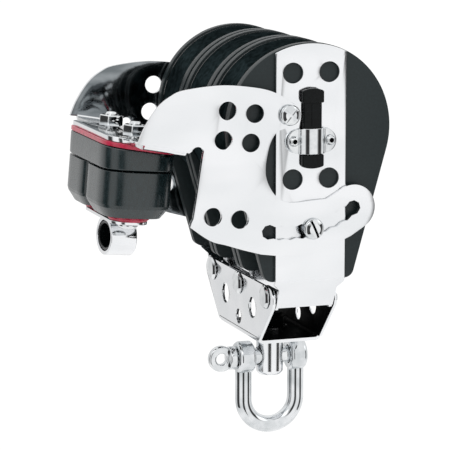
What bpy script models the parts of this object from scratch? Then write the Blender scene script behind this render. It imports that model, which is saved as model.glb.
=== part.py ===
"""Triple ratchet sheave block with a swivel shackle and an adjustable cam cleat arm.

Frame: origin at the middle of the sheave axle, +X away from the cleat, +Y along the axle
from the ratchet switch to the back, +Z up, away from the shackle.
Sizes are in millimetres and become metres when a mesh is made.
"""
import math

import bmesh
import bpy
from mathutils import Matrix, Vector

MM = 0.001
GAP = 0.3                      # clearance between pieces that rest on each other

# ---- driving dimensions ----
PITCH = 35.2                   # from one sheave to the next, along the axle
SHEAVE_HALF = 11.8             # half a sheave's width
SHEAVE_RADIUS = 38.4           # over the flanges
GROOVE_APOTHEM = 30.5          # to the flats of the eight-sided groove
SIDE_PLAY = 0.8                # between a sheave and the cheek beside it
CHEEK_THICK = 3.9
CHEEK_RADIUS = 39.0
CHEEK_TAPER = math.radians(15.9)
CHEEK_BOTTOM = -69.4
STRAP_THICK = 1.6
STRAP_HALF = 17.0
STRAP_NARROW = 14.0            # half width where it goes into the head
BEND_Z = -69.3                 # the outer straps lean in below this
STRAP_END = -83.0
BEND_SLOPE = 0.53
ARM_THICK = 2.0
AXLE_RADIUS = 6.0
AXLE_END_RADIUS = 4.0
PIVOT = (-11.3, 7.2)           # of the cleat arm, X and Z
SLOT_RADIUS = 53.6             # of the arm's locking slot about its pivot
LOCK_ANGLE = 12.6              # of the locking screw, in degrees from straight down
DETENT_STEP = 5.75
HEAD_INNER = 14.3              # half the gap between the head's walls
HEAD_THICK = 1.5
HEAD_PIN_Y = 37.5
HEAD_PIN_Z = -79.0
HEAD_FLOOR = -102.0            # top of the head's bottom plate
POST_RADIUS = 6.5
PIN_Z = -115.5                 # the shackle pin's height
PIN_RADIUS = 4.0
BOW_RADIUS = 13.2              # of the shackle's centre line
BOW_BODY = 3.95
BOW_CENTRE_Z = -136.0
CLEAT_X = -72.6
CAM_Y = 19.0                   # cam pivots, either side of the middle
PLATE_TOP = -5.0               # the cleat plate's upper face, midway between the cams
CAM_TILT = math.radians(5.0)   # the cams' axes lean this much, their feet away from the sheaves
PLATE_SLOPE = math.tan(math.radians(5.5))   # and the plate above them falls this much more

STRAP_MID_Y = PITCH / 2
CHEEK_FACE_Y = PITCH + SHEAVE_HALF + SIDE_PLAY          # inner face of an outer cheek
STRAP_Y = CHEEK_FACE_Y + CHEEK_THICK + GAP              # inner face of an outer strap
STRAP_OUT_Y = STRAP_Y + STRAP_THICK
ARM_Y = STRAP_OUT_Y + 0.4                               # inner face of an arm plate
ARM_OUT_Y = ARM_Y + ARM_THICK

STEEL = ((0.72, 0.73, 0.74), 0.18, 1.0)
CHROME = ((0.80, 0.81, 0.82), 0.10, 1.0)
BLACK = ((0.030, 0.034, 0.034), 0.38, 0.0)
CHARCOAL = ((0.045, 0.055, 0.058), 0.45, 0.0)
RED = ((0.55, 0.03, 0.08), 0.35, 0.0)
BALLS = ((0.75, 0.72, 0.62), 0.4, 0.0)


# ---- building helpers ----
def material(name, finish):
    colour, roughness, metallic = finish
    mat = bpy.data.materials.new(name)
    mat.use_nodes = True
    shader = mat.node_tree.nodes["Principled BSDF"]
    shader.inputs["Base Color"].default_value = (*colour, 1.0)
    shader.inputs["Roughness"].default_value = roughness
    shader.inputs["Metallic"].default_value = metallic
    return mat


def finish_object(name, bm, finish):
    """Turn a bmesh in millimetres into a named object in metres."""
    bmesh.ops.remove_doubles(bm, verts=bm.verts, dist=0.0005)
    bmesh.ops.recalc_face_normals(bm, faces=bm.faces)
    bm.transform(Matrix.Scale(MM, 4))
    mesh = bpy.data.meshes.new(name)
    bm.to_mesh(mesh)
    bm.free()
    obj = bpy.data.objects.new(name, mesh)
    bpy.context.scene.collection.objects.link(obj)
    mesh.materials.append(material(name, finish))
    mesh.shade_smooth()
    mesh.set_sharp_from_angle(angle=math.radians(32))
    return obj


def circle(cx, cy, radius, steps=16, start=0.0):
    return [(cx + radius * math.cos(start + 2 * math.pi * i / steps),
             cy + radius * math.sin(start + 2 * math.pi * i / steps)) for i in range(steps)]


def arc(cx, cy, radius, first, last, steps):
    """Points on an arc, angles in degrees from +X towards the second axis."""
    angles = [math.radians(first + (last - first) * i / steps) for i in range(steps + 1)]
    return [(cx + radius * math.cos(a), cy + radius * math.sin(a)) for a in angles]


def smooth_run(points, per_span=2):
    """A Catmull-Rom curve through the points, ends included."""
    ends = [points[0]] + list(points) + [points[-1]]
    out = []
    for p0, p1, p2, p3 in zip(ends, ends[1:], ends[2:], ends[3:]):
        for i in range(per_span):
            t = i / per_span
            out.append(tuple(
                0.5 * (2 * b + (c - a) * t + (2 * a - 5 * b + 4 * c - d) * t * t
                       + (3 * b - a - 3 * c + d) * t ** 3)
                for a, b, c, d in zip(p0, p1, p2, p3)))
    out.append(points[-1])
    return out


def slab_mesh(loops, low, high, plane):
    """A flat plate from an outline and its holes. plane names the outline's two axes."""
    place = {"XZ": lambda a, b, h: (a, h, b), "YZ": lambda a, b, h: (h, a, b),
             "XY": lambda a, b, h: (a, b, h)}[plane]
    bm = bmesh.new()
    edges = []
    for loop in loops:
        ring = [bm.verts.new(place(a, b, low)) for a, b in loop]
        edges += [bm.edges.new((ring[i - 1], ring[i])) for i in range(len(ring))]
    bmesh.ops.triangle_fill(bm, edges=edges, use_beauty=True, use_dissolve=False)
    grown = bmesh.ops.extrude_face_region(bm, geom=list(bm.faces))
    rise = Vector(place(0, 0, high - low))
    moved = [v for v in grown["geom"] if isinstance(v, bmesh.types.BMVert)]
    bmesh.ops.translate(bm, verts=moved, vec=rise)
    return bm


def slab(name, loops, low, high, plane, finish):
    return finish_object(name, slab_mesh(loops, low, high, plane), finish)


def turned(name, profile, axis, finish, centre=(0, 0, 0), steps=18):
    """Spin a closed profile of (radius, height along axis) points about an axis."""
    along = {"X": Vector((1, 0, 0)), "Y": Vector((0, 1, 0)), "Z": Vector((0, 0, 1))}[axis]
    out = {"X": Vector((0, 0, 1)), "Y": Vector((1, 0, 0)), "Z": Vector((1, 0, 0))}[axis]
    mid = Vector(centre)
    bm = bmesh.new()
    ring = [bm.verts.new(mid + out * r + along * h) for r, h in profile]
    pairs = zip(ring, ring[1:] + ring[:1])
    edges = [bm.edges.new(p) for p in pairs if (p[0].co - mid).cross(along).length > 1e-6
             or (p[1].co - mid).cross(along).length > 1e-6]
    bmesh.ops.spin(bm, geom=ring + edges, cent=mid, axis=along, angle=2 * math.pi,
                   steps=steps, use_merge=True)
    return finish_object(name, bm, finish)


def box(name, low, high, finish):
    outline = [(low[0], low[2]), (high[0], low[2]), (high[0], high[2]), (low[0], high[2])]
    return slab(name, [outline], low[1], high[1], "XZ", finish)


def combine(obj, tool, operation):
    """Apply one Boolean with a tool object that is then thrown away."""
    mod = obj.modifiers.new("shape", "BOOLEAN")
    mod.operation = operation
    mod.object = tool
    mod.solver = "EXACT"
    bpy.context.view_layer.update()
    graph = bpy.context.evaluated_depsgraph_get()
    mesh = bpy.data.meshes.new_from_object(obj.evaluated_get(graph))
    obj.modifiers.clear()
    obj.data = mesh
    bpy.data.objects.remove(tool)
    bm = bmesh.new()
    bm.from_mesh(mesh)
    bmesh.ops.remove_doubles(bm, verts=bm.verts, dist=0.000002)
    bmesh.ops.dissolve_degenerate(bm, edges=bm.edges, dist=0.000002)
    bm.to_mesh(mesh)
    bm.free()
    mesh.shade_smooth()
    mesh.set_sharp_from_angle(angle=math.radians(32))


def pivot_empty(name, place):
    empty = bpy.data.objects.new(name, None)
    empty.location = Vector(place) * MM
    bpy.context.scene.collection.objects.link(empty)
    return empty


def hang(objects, empty):
    """Put finished pieces on a joint's empty, with their origins on its axis."""
    for obj in objects:
        obj.data.transform(Matrix.Translation(-empty.location))
        obj.parent = empty


def tilt(obj, wedge=False):
    """Lean a cleat piece about the plate's middle; a wedge's points follow the plate's slope too."""
    middle = Vector((CLEAT_X, 0, PLATE_TOP)) * MM
    turn = Matrix.Translation(middle) @ Matrix.Rotation(CAM_TILT, 4, "Y") @ Matrix.Translation(-middle)
    for v in obj.data.vertices:
        follow = wedge(v.co.z / MM) if callable(wedge) else float(wedge)
        v.co = turn @ v.co
        v.co.z -= follow * PLATE_SLOPE * (v.co.x - middle.x)
    return obj


def cam_axis_point(side, height):
    """Where a cam's leaning axis is at a height in the upright layout, in millimetres."""
    drop = height - PLATE_TOP
    return (CLEAT_X + drop * math.sin(CAM_TILT), side * CAM_Y, PLATE_TOP + drop * math.cos(CAM_TILT))


def lean(obj, side):
    """Bend an outer strap inwards below the bend line. side is -1 in front, 1 behind."""
    for v in obj.data.vertices:
        below = BEND_Z * MM - v.co.z
        if below > 0:
            v.co.y -= side * below * BEND_SLOPE


# ---- outlines ----
def cheek_outline():
    low = -math.degrees(CHEEK_TAPER)
    side_x = CHEEK_RADIUS * math.cos(CHEEK_TAPER)
    side_z = -CHEEK_RADIUS * math.sin(CHEEK_TAPER)
    corner = 4.5
    drop = side_z - (CHEEK_BOTTOM + corner)
    foot_x = side_x - drop * math.tan(CHEEK_TAPER)
    right = arc(foot_x - corner, CHEEK_BOTTOM + corner, corner, -90, low, 4)
    left = arc(-foot_x + corner, CHEEK_BOTTOM + corner, corner, 180 - low, 270, 4)
    return right + arc(0, 0, CHEEK_RADIUS, low, 180 - low, 30) + left


def strap_outline(end):
    top = 38.7
    start = math.degrees(math.acos(STRAP_HALF / top))
    crown = arc(0, 0, top, start, 180 - start, 8)
    neck = BEND_Z - 1.5
    left = [(-STRAP_HALF, neck), (-STRAP_NARROW, neck - 3), (-STRAP_NARROW, end)]
    right = [(STRAP_NARROW, end), (STRAP_NARROW, neck - 3), (STRAP_HALF, neck)]
    return crown + left + right


def lightening_holes():
    return [circle(x, z, 4.65, 12) for x in (-8.75, 8.75) for z in (25.7, -22.5)]


def from_pivot(radius, angle):
    """A point at an angle in degrees from straight down, towards +X, about the arm's pivot."""
    a = math.radians(angle)
    return (PIVOT[0] + radius * math.sin(a), PIVOT[1] - radius * math.cos(a))


def arm_outline():
    """The claw-shaped arm plate, from the cleat over the pivot and back along the slot."""
    top = smooth_run([(-82.3, -3.2), (-79.0, 4.2), (-73.0, 12.8), (-66.5, 17.7), (-59.8, 20.1),
                      (-42.3, 21.6), (-24.9, 19.6), (-15.5, 16.2), (-8.8, 11.7)])
    lobe = arc(*PIVOT, 5.3, 50, -50, 7)
    throat = smooth_run([(-8.6, 2.3), (-13.0, 1.3), (-18.0, -1.2), (-21.3, -8.5), (-22.4, -20.0),
                         (-17.6, -29.3), (-10.5, -32.6), (0.5, -32.2)] + [from_pivot(43.1, 25)])
    end = from_pivot(SLOT_RADIUS, LOCK_ANGLE + 4 * DETENT_STEP)
    nose = arc(*end, 10.5, 116, -60, 8)
    rim = [from_pivot(64.1, a) for a in range(28, -28, -8)]
    tail = smooth_run([from_pivot(65.0, -28), (-49.0, -47.8), (-58.5, -41.0)])
    heel = smooth_run([(-56.7, -37.5), (-54.8, -26.4), (-51.9, -7.6)])
    notch = arc(-54.6, -8.2, 2.9, 10, 160, 5)
    sole = [(-58.6, -8.0), (-64.0, -6.6), (-70.0, -4.7)]
    return top[:-1] + lobe + throat + nose + rim + tail + heel[:-1] + notch + sole


def arm_slot():
    """The scalloped locking slot: nine detent rounds joined by narrower necks."""
    outer, inner = [], []
    for i in range(-8, 9):
        half = 2.65 if i % 2 else 3.4
        at = LOCK_ANGLE + i * DETENT_STEP / 2
        outer.append(from_pivot(SLOT_RADIUS + half, at))
        inner.append(from_pivot(SLOT_RADIUS - half, at))
    reach = math.degrees(3.4 / SLOT_RADIUS)
    first = LOCK_ANGLE - 4 * DETENT_STEP
    last = LOCK_ANGLE + 4 * DETENT_STEP
    tip = [from_pivot(SLOT_RADIUS + dr, last + reach * k) for dr, k in ((2.4, 0.7), (0, 1), (-2.4, 0.7))]
    root = [from_pivot(SLOT_RADIUS + dr, first - reach * k) for dr, k in ((-2.4, 0.7), (0, 1), (2.4, 0.7))]
    return outer + tip + inner[::-1] + root


def rounded_rect(half_a, half_b, corner, steps=3, centre=(0.0, 0.0)):
    ca, cb = centre
    a, b = half_a - corner, half_b - corner
    return (arc(ca + a, cb + b, corner, 0, 90, steps) + arc(ca - a, cb + b, corner, 90, 180, steps)
            + arc(ca - a, cb - b, corner, 180, 270, steps) + arc(ca + a, cb - b, corner, 270, 360, steps))


# ---- sheaves and their bearings ----
def groove_radius(angle):
    """Distance to the eight-sided groove's flats at an angle about the axle."""
    eighth = math.pi / 4
    return GROOVE_APOTHEM / math.cos((angle % eighth) - eighth / 2)


def sheave(name, y, turn, ratchet):
    """One sheave: round flanges and an eight-sided groove, with a recess for the ratchet."""
    steps = 40
    half = SHEAVE_HALF
    flange = [(-half, 0.0, SHEAVE_RADIUS), (-9.6, 0.0, SHEAVE_RADIUS), (-6.5, 0.6, SHEAVE_RADIUS - 3.5),
              (-2.5, 1.0, 0.0)]
    recess = [(-7.3, 0.0, 15.0), (-7.3, 0.0, 27.2), (-half, 0.0, 27.2)] if ratchet else [(-half, 0.0, 15.0)]
    ladder = recess + flange + [(-h, mix, r) for h, mix, r in reversed(flange)] + [(half, 0.0, 15.0)]
    bm = bmesh.new()
    rings = []
    for h, mix, radius in ladder:
        ring = []
        for i in range(steps):
            a = 2 * math.pi * i / steps
            r = radius + mix * (groove_radius(a + turn) - radius)
            ring.append(bm.verts.new((r * math.cos(a), y + h, r * math.sin(a))))
        rings.append(ring)
    for near, far in zip(rings, rings[1:] + rings[:1]):
        for i in range(steps):
            bm.faces.new((near[i - 1], near[i], far[i], far[i - 1]))
    return finish_object(name, bm, BLACK)


def make_sheaves():
    for word, y, turn in (("front", -PITCH, 0.10), ("middle", 0.0, 0.42), ("rear", PITCH, 0.0)):
        pieces = [sheave(f"sheave_{word}", y, turn, word == "front")]
        cage = [(11.6, -7.0), (14.6, -7.0), (14.6, 7.0), (11.6, 7.0)]
        pieces.append(turned(f"ball_cage_{word}", cage, "Y", BALLS, (0, y, 0)))
        hub = [(AXLE_RADIUS + GAP, -12.3), (11.2, -12.3), (11.2, 12.3), (AXLE_RADIUS + GAP, 12.3)]
        turned(f"hub_{word}", hub, "Y", STEEL, (0, y, 0))
        if word == "front":
            pieces.append(ratchet_ring())
        hang(pieces, pivot_empty(f"spin_{word}", (0, y, 0)))


RATCHET_TEETH = 20
PAWL_PIVOT = (-8.75, 15.2)
PAWL_GAP_ANGLE = 101.9         # a tooth gap waits here for the pawl's tip


def ratchet_ring():
    """The ring inside the front sheave's near side, with saw teeth that point inwards."""
    outer = circle(0, 0, 26.8, 24)
    inner = []
    for k in range(RATCHET_TEETH):
        pitch = 2 * math.pi / RATCHET_TEETH
        mid = math.radians(PAWL_GAP_ANGLE) + k * pitch
        for part, radius in ((-0.34, 24.7), (0.34, 24.7), (0.50, 22.0)):
            a = mid + part * pitch
            inner.append((radius * math.cos(a), radius * math.sin(a)))
    low = -PITCH - SHEAVE_HALF + 0.2
    return slab("ratchet_ring", [outer, inner], low, low + 4.0, "XZ", STEEL)


def make_pawl():
    """A pawl on the front cheek, clear of the teeth while the switch is up."""
    reach = math.radians(39.8)
    px, pz = PAWL_PIVOT
    side = (-math.sin(reach), math.cos(reach))

    def at(along, across):
        return (px + along * math.cos(reach) + across * side[0],
                pz + along * math.sin(reach) + across * side[1])
    eye = [at(2.6 * math.cos(math.radians(a)), 2.6 * math.sin(math.radians(a))) for a in range(75, 300, 45)]
    outline = [at(6.0, -1.0), at(9.0, -0.3), at(8.7, 0.5), at(6.0, 1.3)] + eye
    low = -PITCH - SHEAVE_HALF + 0.4
    pawl = slab("pawl", [outline, circle(px, pz, 1.5, 8)], low, low + 3.3, "XZ", STEEL)
    hang([pawl], pivot_empty("pawl_turn", (px, low, pz)))
    stud = [(0, 0), (1.2, 0), (1.2, 4.0), (0, 4.0)]
    turned("pawl_pin", stud, "Y", CHROME, (px, -CHEEK_FACE_Y + GAP, pz), 8)


# ---- cheeks, straps and axle ----
def make_cheeks():
    lock = from_pivot(SLOT_RADIUS, LOCK_ANGLE)
    bolts = [circle(*PIVOT, 3.3, 14), circle(*lock, 2.9, 14)]
    axle = circle(0, 0, AXLE_RADIUS + GAP, 20)
    tongue_way = [(-1.9, 6.9), (1.9, 6.9), (1.9, 18.6), (-1.9, 18.6)]
    outer_low = CHEEK_FACE_Y
    slab("cheek_front", [cheek_outline(), axle, tongue_way] + bolts,
         -outer_low - CHEEK_THICK, -outer_low, "XZ", BLACK)
    slab("cheek_rear", [cheek_outline(), axle] + bolts,
         outer_low, outer_low + CHEEK_THICK, "XZ", BLACK)
    off = STRAP_THICK / 2 + GAP
    for word, y in (("front", -STRAP_MID_Y), ("rear", STRAP_MID_Y)):
        slab(f"cheek_{word}_mid_a", [cheek_outline(), axle], y - off - CHEEK_THICK, y - off, "XZ", BLACK)
        slab(f"cheek_{word}_mid_b", [cheek_outline(), axle], y + off, y + off + CHEEK_THICK, "XZ", BLACK)


def add_tabs(strap, outline, x_near, pin_y):
    """Fold two side tabs inwards from a strap's foot and drill them for a head pin."""
    for side in (-1, 1):
        low, high = sorted((side * x_near, side * (x_near + STRAP_THICK)))
        combine(strap, slab("tab", [outline], low, high, "YZ", STEEL), "UNION")
    drill = turned("drill", [(0, -20), (2.9, -20), (2.9, 20), (0, 20)], "X", STEEL,
                   (0, pin_y, HEAD_PIN_Z), 12)
    combine(strap, drill, "DIFFERENCE")


def make_straps():
    lock = from_pivot(SLOT_RADIUS, LOCK_ANGLE)
    outer_holes = lightening_holes() + [circle(*PIVOT, 3.3, 14), circle(*lock, 2.9, 14),
                                        circle(0, 0, AXLE_END_RADIUS + GAP, 16)]
    switch_holes = [[(-1.9, 6.9), (1.9, 6.9), (1.9, 18.6), (-1.9, 18.6)],
                    circle(-8.8, -5.0, 1.5, 8), circle(8.8, -5.0, 1.5, 8)]
    for word, side, extra in (("front", -1, switch_holes), ("rear", 1, [])):
        bm = slab_mesh([strap_outline(STRAP_END)] + outer_holes + extra,
                       min(side * STRAP_Y, side * STRAP_OUT_Y), max(side * STRAP_Y, side * STRAP_OUT_Y), "XZ")
        geom = list(bm.verts) + list(bm.edges) + list(bm.faces)
        bmesh.ops.bisect_plane(bm, geom=geom, plane_co=(0, 0, BEND_Z), plane_no=(0, 0, 1), dist=0.001)
        strap = finish_object(f"strap_{word}", bm, STEEL)
        lean(strap, side)
        tab = [(side * 48.6, -74.5), (side * 32.5, -74.5), (side * 32.5, -84.0), (side * 45.4, -84.0),
               (side * 45.9, -82.5)]
        add_tabs(strap, tab, STRAP_NARROW - STRAP_THICK - 0.05, side * HEAD_PIN_Y)
    mid_holes = lightening_holes() + [circle(0, 0, AXLE_RADIUS + GAP, 20)]
    for word, side, inset in (("front", -1, 0.05), ("rear", 1, 2.0)):
        y = side * STRAP_MID_Y
        strap = slab(f"strap_{word}_mid", [strap_outline(-84.0)] + mid_holes,
                     y - STRAP_THICK / 2, y + STRAP_THICK / 2, "XZ", STEEL)
        tab = [(side * 17.2, -74.5), (side * -5.5, -74.5), (side * -5.5, -83.9), (side * 17.2, -83.9)]
        add_tabs(strap, tab, STRAP_NARROW - STRAP_THICK - inset, 0.0)


def make_axle():
    end = STRAP_OUT_Y - 0.1
    shoulder = STRAP_Y - GAP
    profile = [(0, -end), (AXLE_END_RADIUS, -end), (AXLE_END_RADIUS, -shoulder), (AXLE_RADIUS, -shoulder),
               (AXLE_RADIUS, shoulder), (AXLE_END_RADIUS, shoulder), (AXLE_END_RADIUS, end), (0, end)]
    turned("axle", profile, "Y", STEEL, steps=20)


# ---- ratchet switch ----
SLIDER_HALF = 5.7
STEM_HALF = 4.5
SWITCH_BACK = -STRAP_OUT_Y - GAP           # the slider's back face, against the strap


def make_switch():
    """A sliding switch with a head at each end, held by a half-round guide."""
    bm = slab_mesh([[(-STEM_HALF, -14.0), (STEM_HALF, -14.0), (STEM_HALF, 14.0), (-STEM_HALF, 14.0)]],
                   SWITCH_BACK - 1.9, SWITCH_BACK, "XZ")
    slider = finish_object("ratchet_slider", bm, BLACK)
    for low, high, arch in ((12.2, 17.6, 1.2), (-16.6, -11.2, -1.0)):
        edge = high if arch > 0 else low
        crown = [(SLIDER_HALF, edge), (0, edge + arch), (-SLIDER_HALF, edge)]
        other = low if arch > 0 else high
        outline = crown + [(-SLIDER_HALF, other), (SLIDER_HALF, other)]
        head = slab("head", [outline], SWITCH_BACK - 3.2, SWITCH_BACK - 0.1, "XZ", BLACK)
        combine(slider, head, "UNION")
    tongue = box("tongue", (-1.5, SWITCH_BACK - 1.0, 16.3), (1.5, -CHEEK_FACE_Y - 0.6, 18.0), BLACK)
    combine(slider, tongue, "UNION")
    hang([slider], pivot_empty("slider_track", (0, SWITCH_BACK, 0)))

    guide_low, guide_high = -11.0, 0.6
    face = -STRAP_OUT_Y - GAP
    shell = [(x, face + (y - face) * 0.62) for x, y in arc(0, face, 6.2, 196, 344, 10)]
    inner = [(5.0, face), (4.8, face - 2.05), (3.4, face - 2.75), (-3.4, face - 2.75), (-4.8, face - 2.05),
             (-5.0, face)]
    outline = [(-11.2, face), (-11.2, face - 1.1), (-6.3, face - 1.1)] + shell + \
        [(6.3, face - 1.1), (11.2, face - 1.1), (11.2, face)] + inner
    guide = slab("switch_guide", [outline], guide_low, guide_high, "XY", CHROME)
    for side in (-1, 1):
        at = (side * 8.8, 0, -5.0)
        drill = turned("drill", [(0, -60), (1.5, -60), (1.5, -50), (0, -50)], "Y", STEEL, at, 8)
        combine(guide, drill, "DIFFERENCE")
        face = -STRAP_OUT_Y - 1.1 - 2 * GAP
        profile = [(0, face - 1.7), (1.4, face - 1.5), (2.4, face - 0.5), (2.4, face), (1.2, face),
                   (1.2, -STRAP_Y - 0.2), (0, -STRAP_Y - 0.2)]
        word = "left" if side < 0 else "right"
        turned(f"guide_screw_{word}", profile, "Y", CHROME, at, 12)


# ---- cleat arm ----
def make_arm():
    """The folded bracket: two claw plates joined by the plate that carries the cleat."""
    places = ((-40.5, 10.2), (-27.7, 8.5), (-42.5, -2.9), (-29.6, -4.6), (-47.5, -37.2), (-34.7, -39.0))
    loops = [arm_outline(), arm_slot(), circle(*PIVOT, 3.3, 14)] + [circle(*p, 4.2, 12) for p in places]
    bracket = slab("cam_arm", loops, -ARM_OUT_Y, -ARM_Y, "XZ", STEEL)
    rear = slab("rear_plate", loops, ARM_Y, ARM_OUT_Y, "XZ", STEEL)
    out, thin, bend = ARM_OUT_Y - 0.05, 1.9, 3.6
    low = PLATE_TOP - ARM_THICK
    outer = [(-out, 1.0)] + arc(-out + bend, low + bend, bend, 180, 270, 5) + \
        arc(out - bend, low + bend, bend, 270, 360, 5) + [(out, 1.0)]
    inner = [(out - thin, 1.0)] + arc(out - bend, low + bend, bend - thin, 360, 270, 4) + \
        arc(-out + bend, low + bend, bend - thin, 270, 180, 4) + [(-out + thin, 1.0)]
    fold = tilt(slab("fold", [outer + inner], -79.0, -59.5, "YZ", STEEL), wedge=True)
    tongue = arc(-81.0, 26.0, 7.5, 90, 180, 4) + arc(-81.0, -26.0, 7.5, 180, 270, 4)
    deck_outline = [(-79.3, 33.5)] + tongue[1:-1] + [(-79.3, -33.5), (-79.3, -51.8), (-59.8, -51.8),
                                                    (-59.8, 51.8), (-79.3, 51.8)]
    combine(bracket, fold, "UNION")
    combine(bracket, rear, "UNION")
    deck = slab("deck", [deck_outline], low - 0.02, PLATE_TOP + 0.02, "XY", STEEL)
    combine(bracket, tilt(deck, wedge=True), "UNION")
    for side in (-1, 1):
        at = (CLEAT_X, side * CAM_Y, PLATE_TOP)
        drill = turned("drill", [(0, -6), (3.3, -6), (3.3, 4), (0, 4)], "Z", STEEL, at, 12)
        combine(bracket, tilt(drill), "DIFFERENCE")
    return bracket


def bolt_y(name, place, side, shank, head, inner_end, finish):
    """A screw along the axle's direction, its head outside the arm plate."""
    face = ARM_OUT_Y + GAP
    profile = [(0, face + 2.6), (head * 0.55, face + 2.5), (head, face + 1.5), (head, face), (shank, face),
               (shank, inner_end), (0, inner_end)]
    if side < 0:
        profile = [(r, -h) for r, h in reversed(profile)]
    return turned(name, profile, "Y", finish, (place[0], 0, place[1]), 20)


def make_arm_bolts():
    lock = from_pivot(SLOT_RADIUS, LOCK_ANGLE)
    end = CHEEK_FACE_Y + 0.7
    for word, side in (("front", -1), ("rear", 1)):
        bolt_y(f"arm_pivot_bolt_{word}", PIVOT, side, 3.0, 4.8, end, CHROME)
        bolt_y(f"arm_lock_screw_{word}", lock, side, 2.45, 4.8, end, CHROME)


# ---- cam cleat ----
BASE_HALF_X = 17.2
BASE_HALF_Y = 35.4
GASKET_TOP = PLATE_TOP - ARM_THICK - GAP
BASE_TOP = GASKET_TOP - 2.3
BASE_LOW = PLATE_TOP - 13.4
CAM_TOP = BASE_LOW - 0.8
CAM_EDGE = PLATE_TOP - 31.0
CAM_LOW = PLATE_TOP - 35.4
WASHER_LOW = CAM_LOW - GAP - 2.0
LEAD_TOP = WASHER_LOW - GAP
LEAD_THICK = 1.5


def cam_radius(angle):
    """A cam's outline about its pivot: a block shape cut by a toothed spiral jaw."""
    c, s = math.cos(angle), math.sin(angle)
    reach_x = (BASE_HALF_X - 0.2) / max(abs(c), 1e-6)
    reach_y = (BASE_HALF_Y - CAM_Y if s < 0 else CAM_Y - 0.7) / max(abs(s), 1e-6)
    power = 7.0
    block = (reach_x ** -power + reach_y ** -power) ** (-1 / power)
    degrees = math.degrees(angle) % 360
    if degrees > 165 or degrees < 15:
        return block
    spiral = 18.2 - max(0.0, 95.0 - degrees) * 0.075 - max(0.0, degrees - 100.0) * 0.012
    if 40 < degrees < 112:
        spiral -= 0.55 * ((degrees / 6.0) % 1.0)
    return min(block, spiral)


def make_cam(word, side):
    """One cam, jaw towards the middle. side is -1 for the front cam."""
    steps = 72
    rings = []
    bm = bmesh.new()
    levels = ((CAM_TOP, 1.0), (CAM_EDGE, 1.0), (CAM_LOW, 0.80))
    for z, scale in levels:
        ring = []
        for i in range(0, steps):
            a = 2 * math.pi * i / steps
            if 1.95 * math.pi > a > 1.0 * math.pi and i % 3:
                continue
            r = cam_radius(a) * scale
            ring.append(bm.verts.new((CLEAT_X + r * math.cos(a), -side * r * math.sin(a) + side * CAM_Y, z)))
        rings.append(ring)
    count = len(rings[0])
    for near, far in zip(rings, rings[1:]):
        for i in range(count):
            bm.faces.new((near[i - 1], near[i], far[i], far[i - 1]))
    for ring in (rings[0], rings[-1]):
        bm.faces.new(ring)
    cam = finish_object(f"cam_{word}", bm, CHARCOAL)
    at = (CLEAT_X, side * CAM_Y, 0)
    bore = [(0, CAM_LOW - 2), (3.5, CAM_LOW - 2), (3.5, CAM_TOP - 5.0), (7.2, CAM_TOP - 5.0),
            (7.2, CAM_TOP + 2), (0, CAM_TOP + 2)]
    combine(cam, turned("bore", bore, "Z", STEEL, at, 16), "DIFFERENCE")
    hang([tilt(cam)], pivot_empty(f"cam_turn_{word}", cam_axis_point(side, CAM_TOP)))


def make_spring(word, side):
    """A cam's torsion spring: three turns of wire in the pocket round its bolt."""
    turns, per_turn, sides, coil, wire = 3, 9, 4, 5.4, 0.5
    bm = bmesh.new()
    rings = []
    for i in range(turns * per_turn + 1):
        a = 2 * math.pi * i / per_turn
        z = CAM_TOP - 0.9 - 3.4 * i / (turns * per_turn)
        ring = []
        for k in range(sides):
            b = 2 * math.pi * k / sides
            r = coil + wire * math.cos(b)
            ring.append(bm.verts.new((CLEAT_X + r * math.cos(a), side * CAM_Y + r * math.sin(a),
                                      z + wire * math.sin(b))))
        rings.append(ring)
    for near, far in zip(rings, rings[1:]):
        for k in range(sides):
            bm.faces.new((near[k - 1], near[k], far[k], far[k - 1]))
    bm.faces.new(rings[0])
    bm.faces.new(rings[-1])
    return tilt(finish_object(f"cam_spring_{word}", bm, STEEL))


def make_fairlead():
    """The eye under the cams: a flat plate with an oval guide folded down from it."""
    holes = [circle(CLEAT_X, side * CAM_Y, 3.3, 14) for side in (-1, 1)]
    plate_outline = rounded_rect(9.0, 25.5, 7.0, centre=(CLEAT_X, 0))
    lead = slab("fairlead", [plate_outline] + holes, LEAD_TOP - LEAD_THICK, LEAD_TOP, "XY", STEEL)
    ring_z = PLATE_TOP - 48.3
    outer = [(12.6 * c, ring_z + 8.9 * s) for c, s in circle(0, 0, 1.0, 20)]
    inner = [(10.8 * c, ring_z + 7.1 * s) for c, s in circle(0, 0, 1.0, 20)]
    ring = slab("ring", [outer, inner], CLEAT_X - 5.2, CLEAT_X + 7.2, "YZ", STEEL)
    combine(lead, ring, "UNION")
    neck = slab("neck", [[(-6.0, LEAD_TOP - 0.4), (6.0, LEAD_TOP - 0.4), (6.0, LEAD_TOP - 2.6),
                          (-6.0, LEAD_TOP - 2.6)]], CLEAT_X - 5.0, CLEAT_X + 7.0, "YZ", STEEL)
    combine(lead, neck, "UNION")
    bush_outer = [(10.5 * c, ring_z + 6.8 * s) for c, s in circle(0, 0, 1.0, 18)]
    bush_inner = [(9.2 * c, ring_z + 5.5 * s) for c, s in circle(0, 0, 1.0, 18)]
    bush = slab("fairlead_bush", [bush_outer, bush_inner], CLEAT_X - 4.7, CLEAT_X + 6.7, "YZ", BLACK)
    return [tilt(lead), tilt(bush)]


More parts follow.
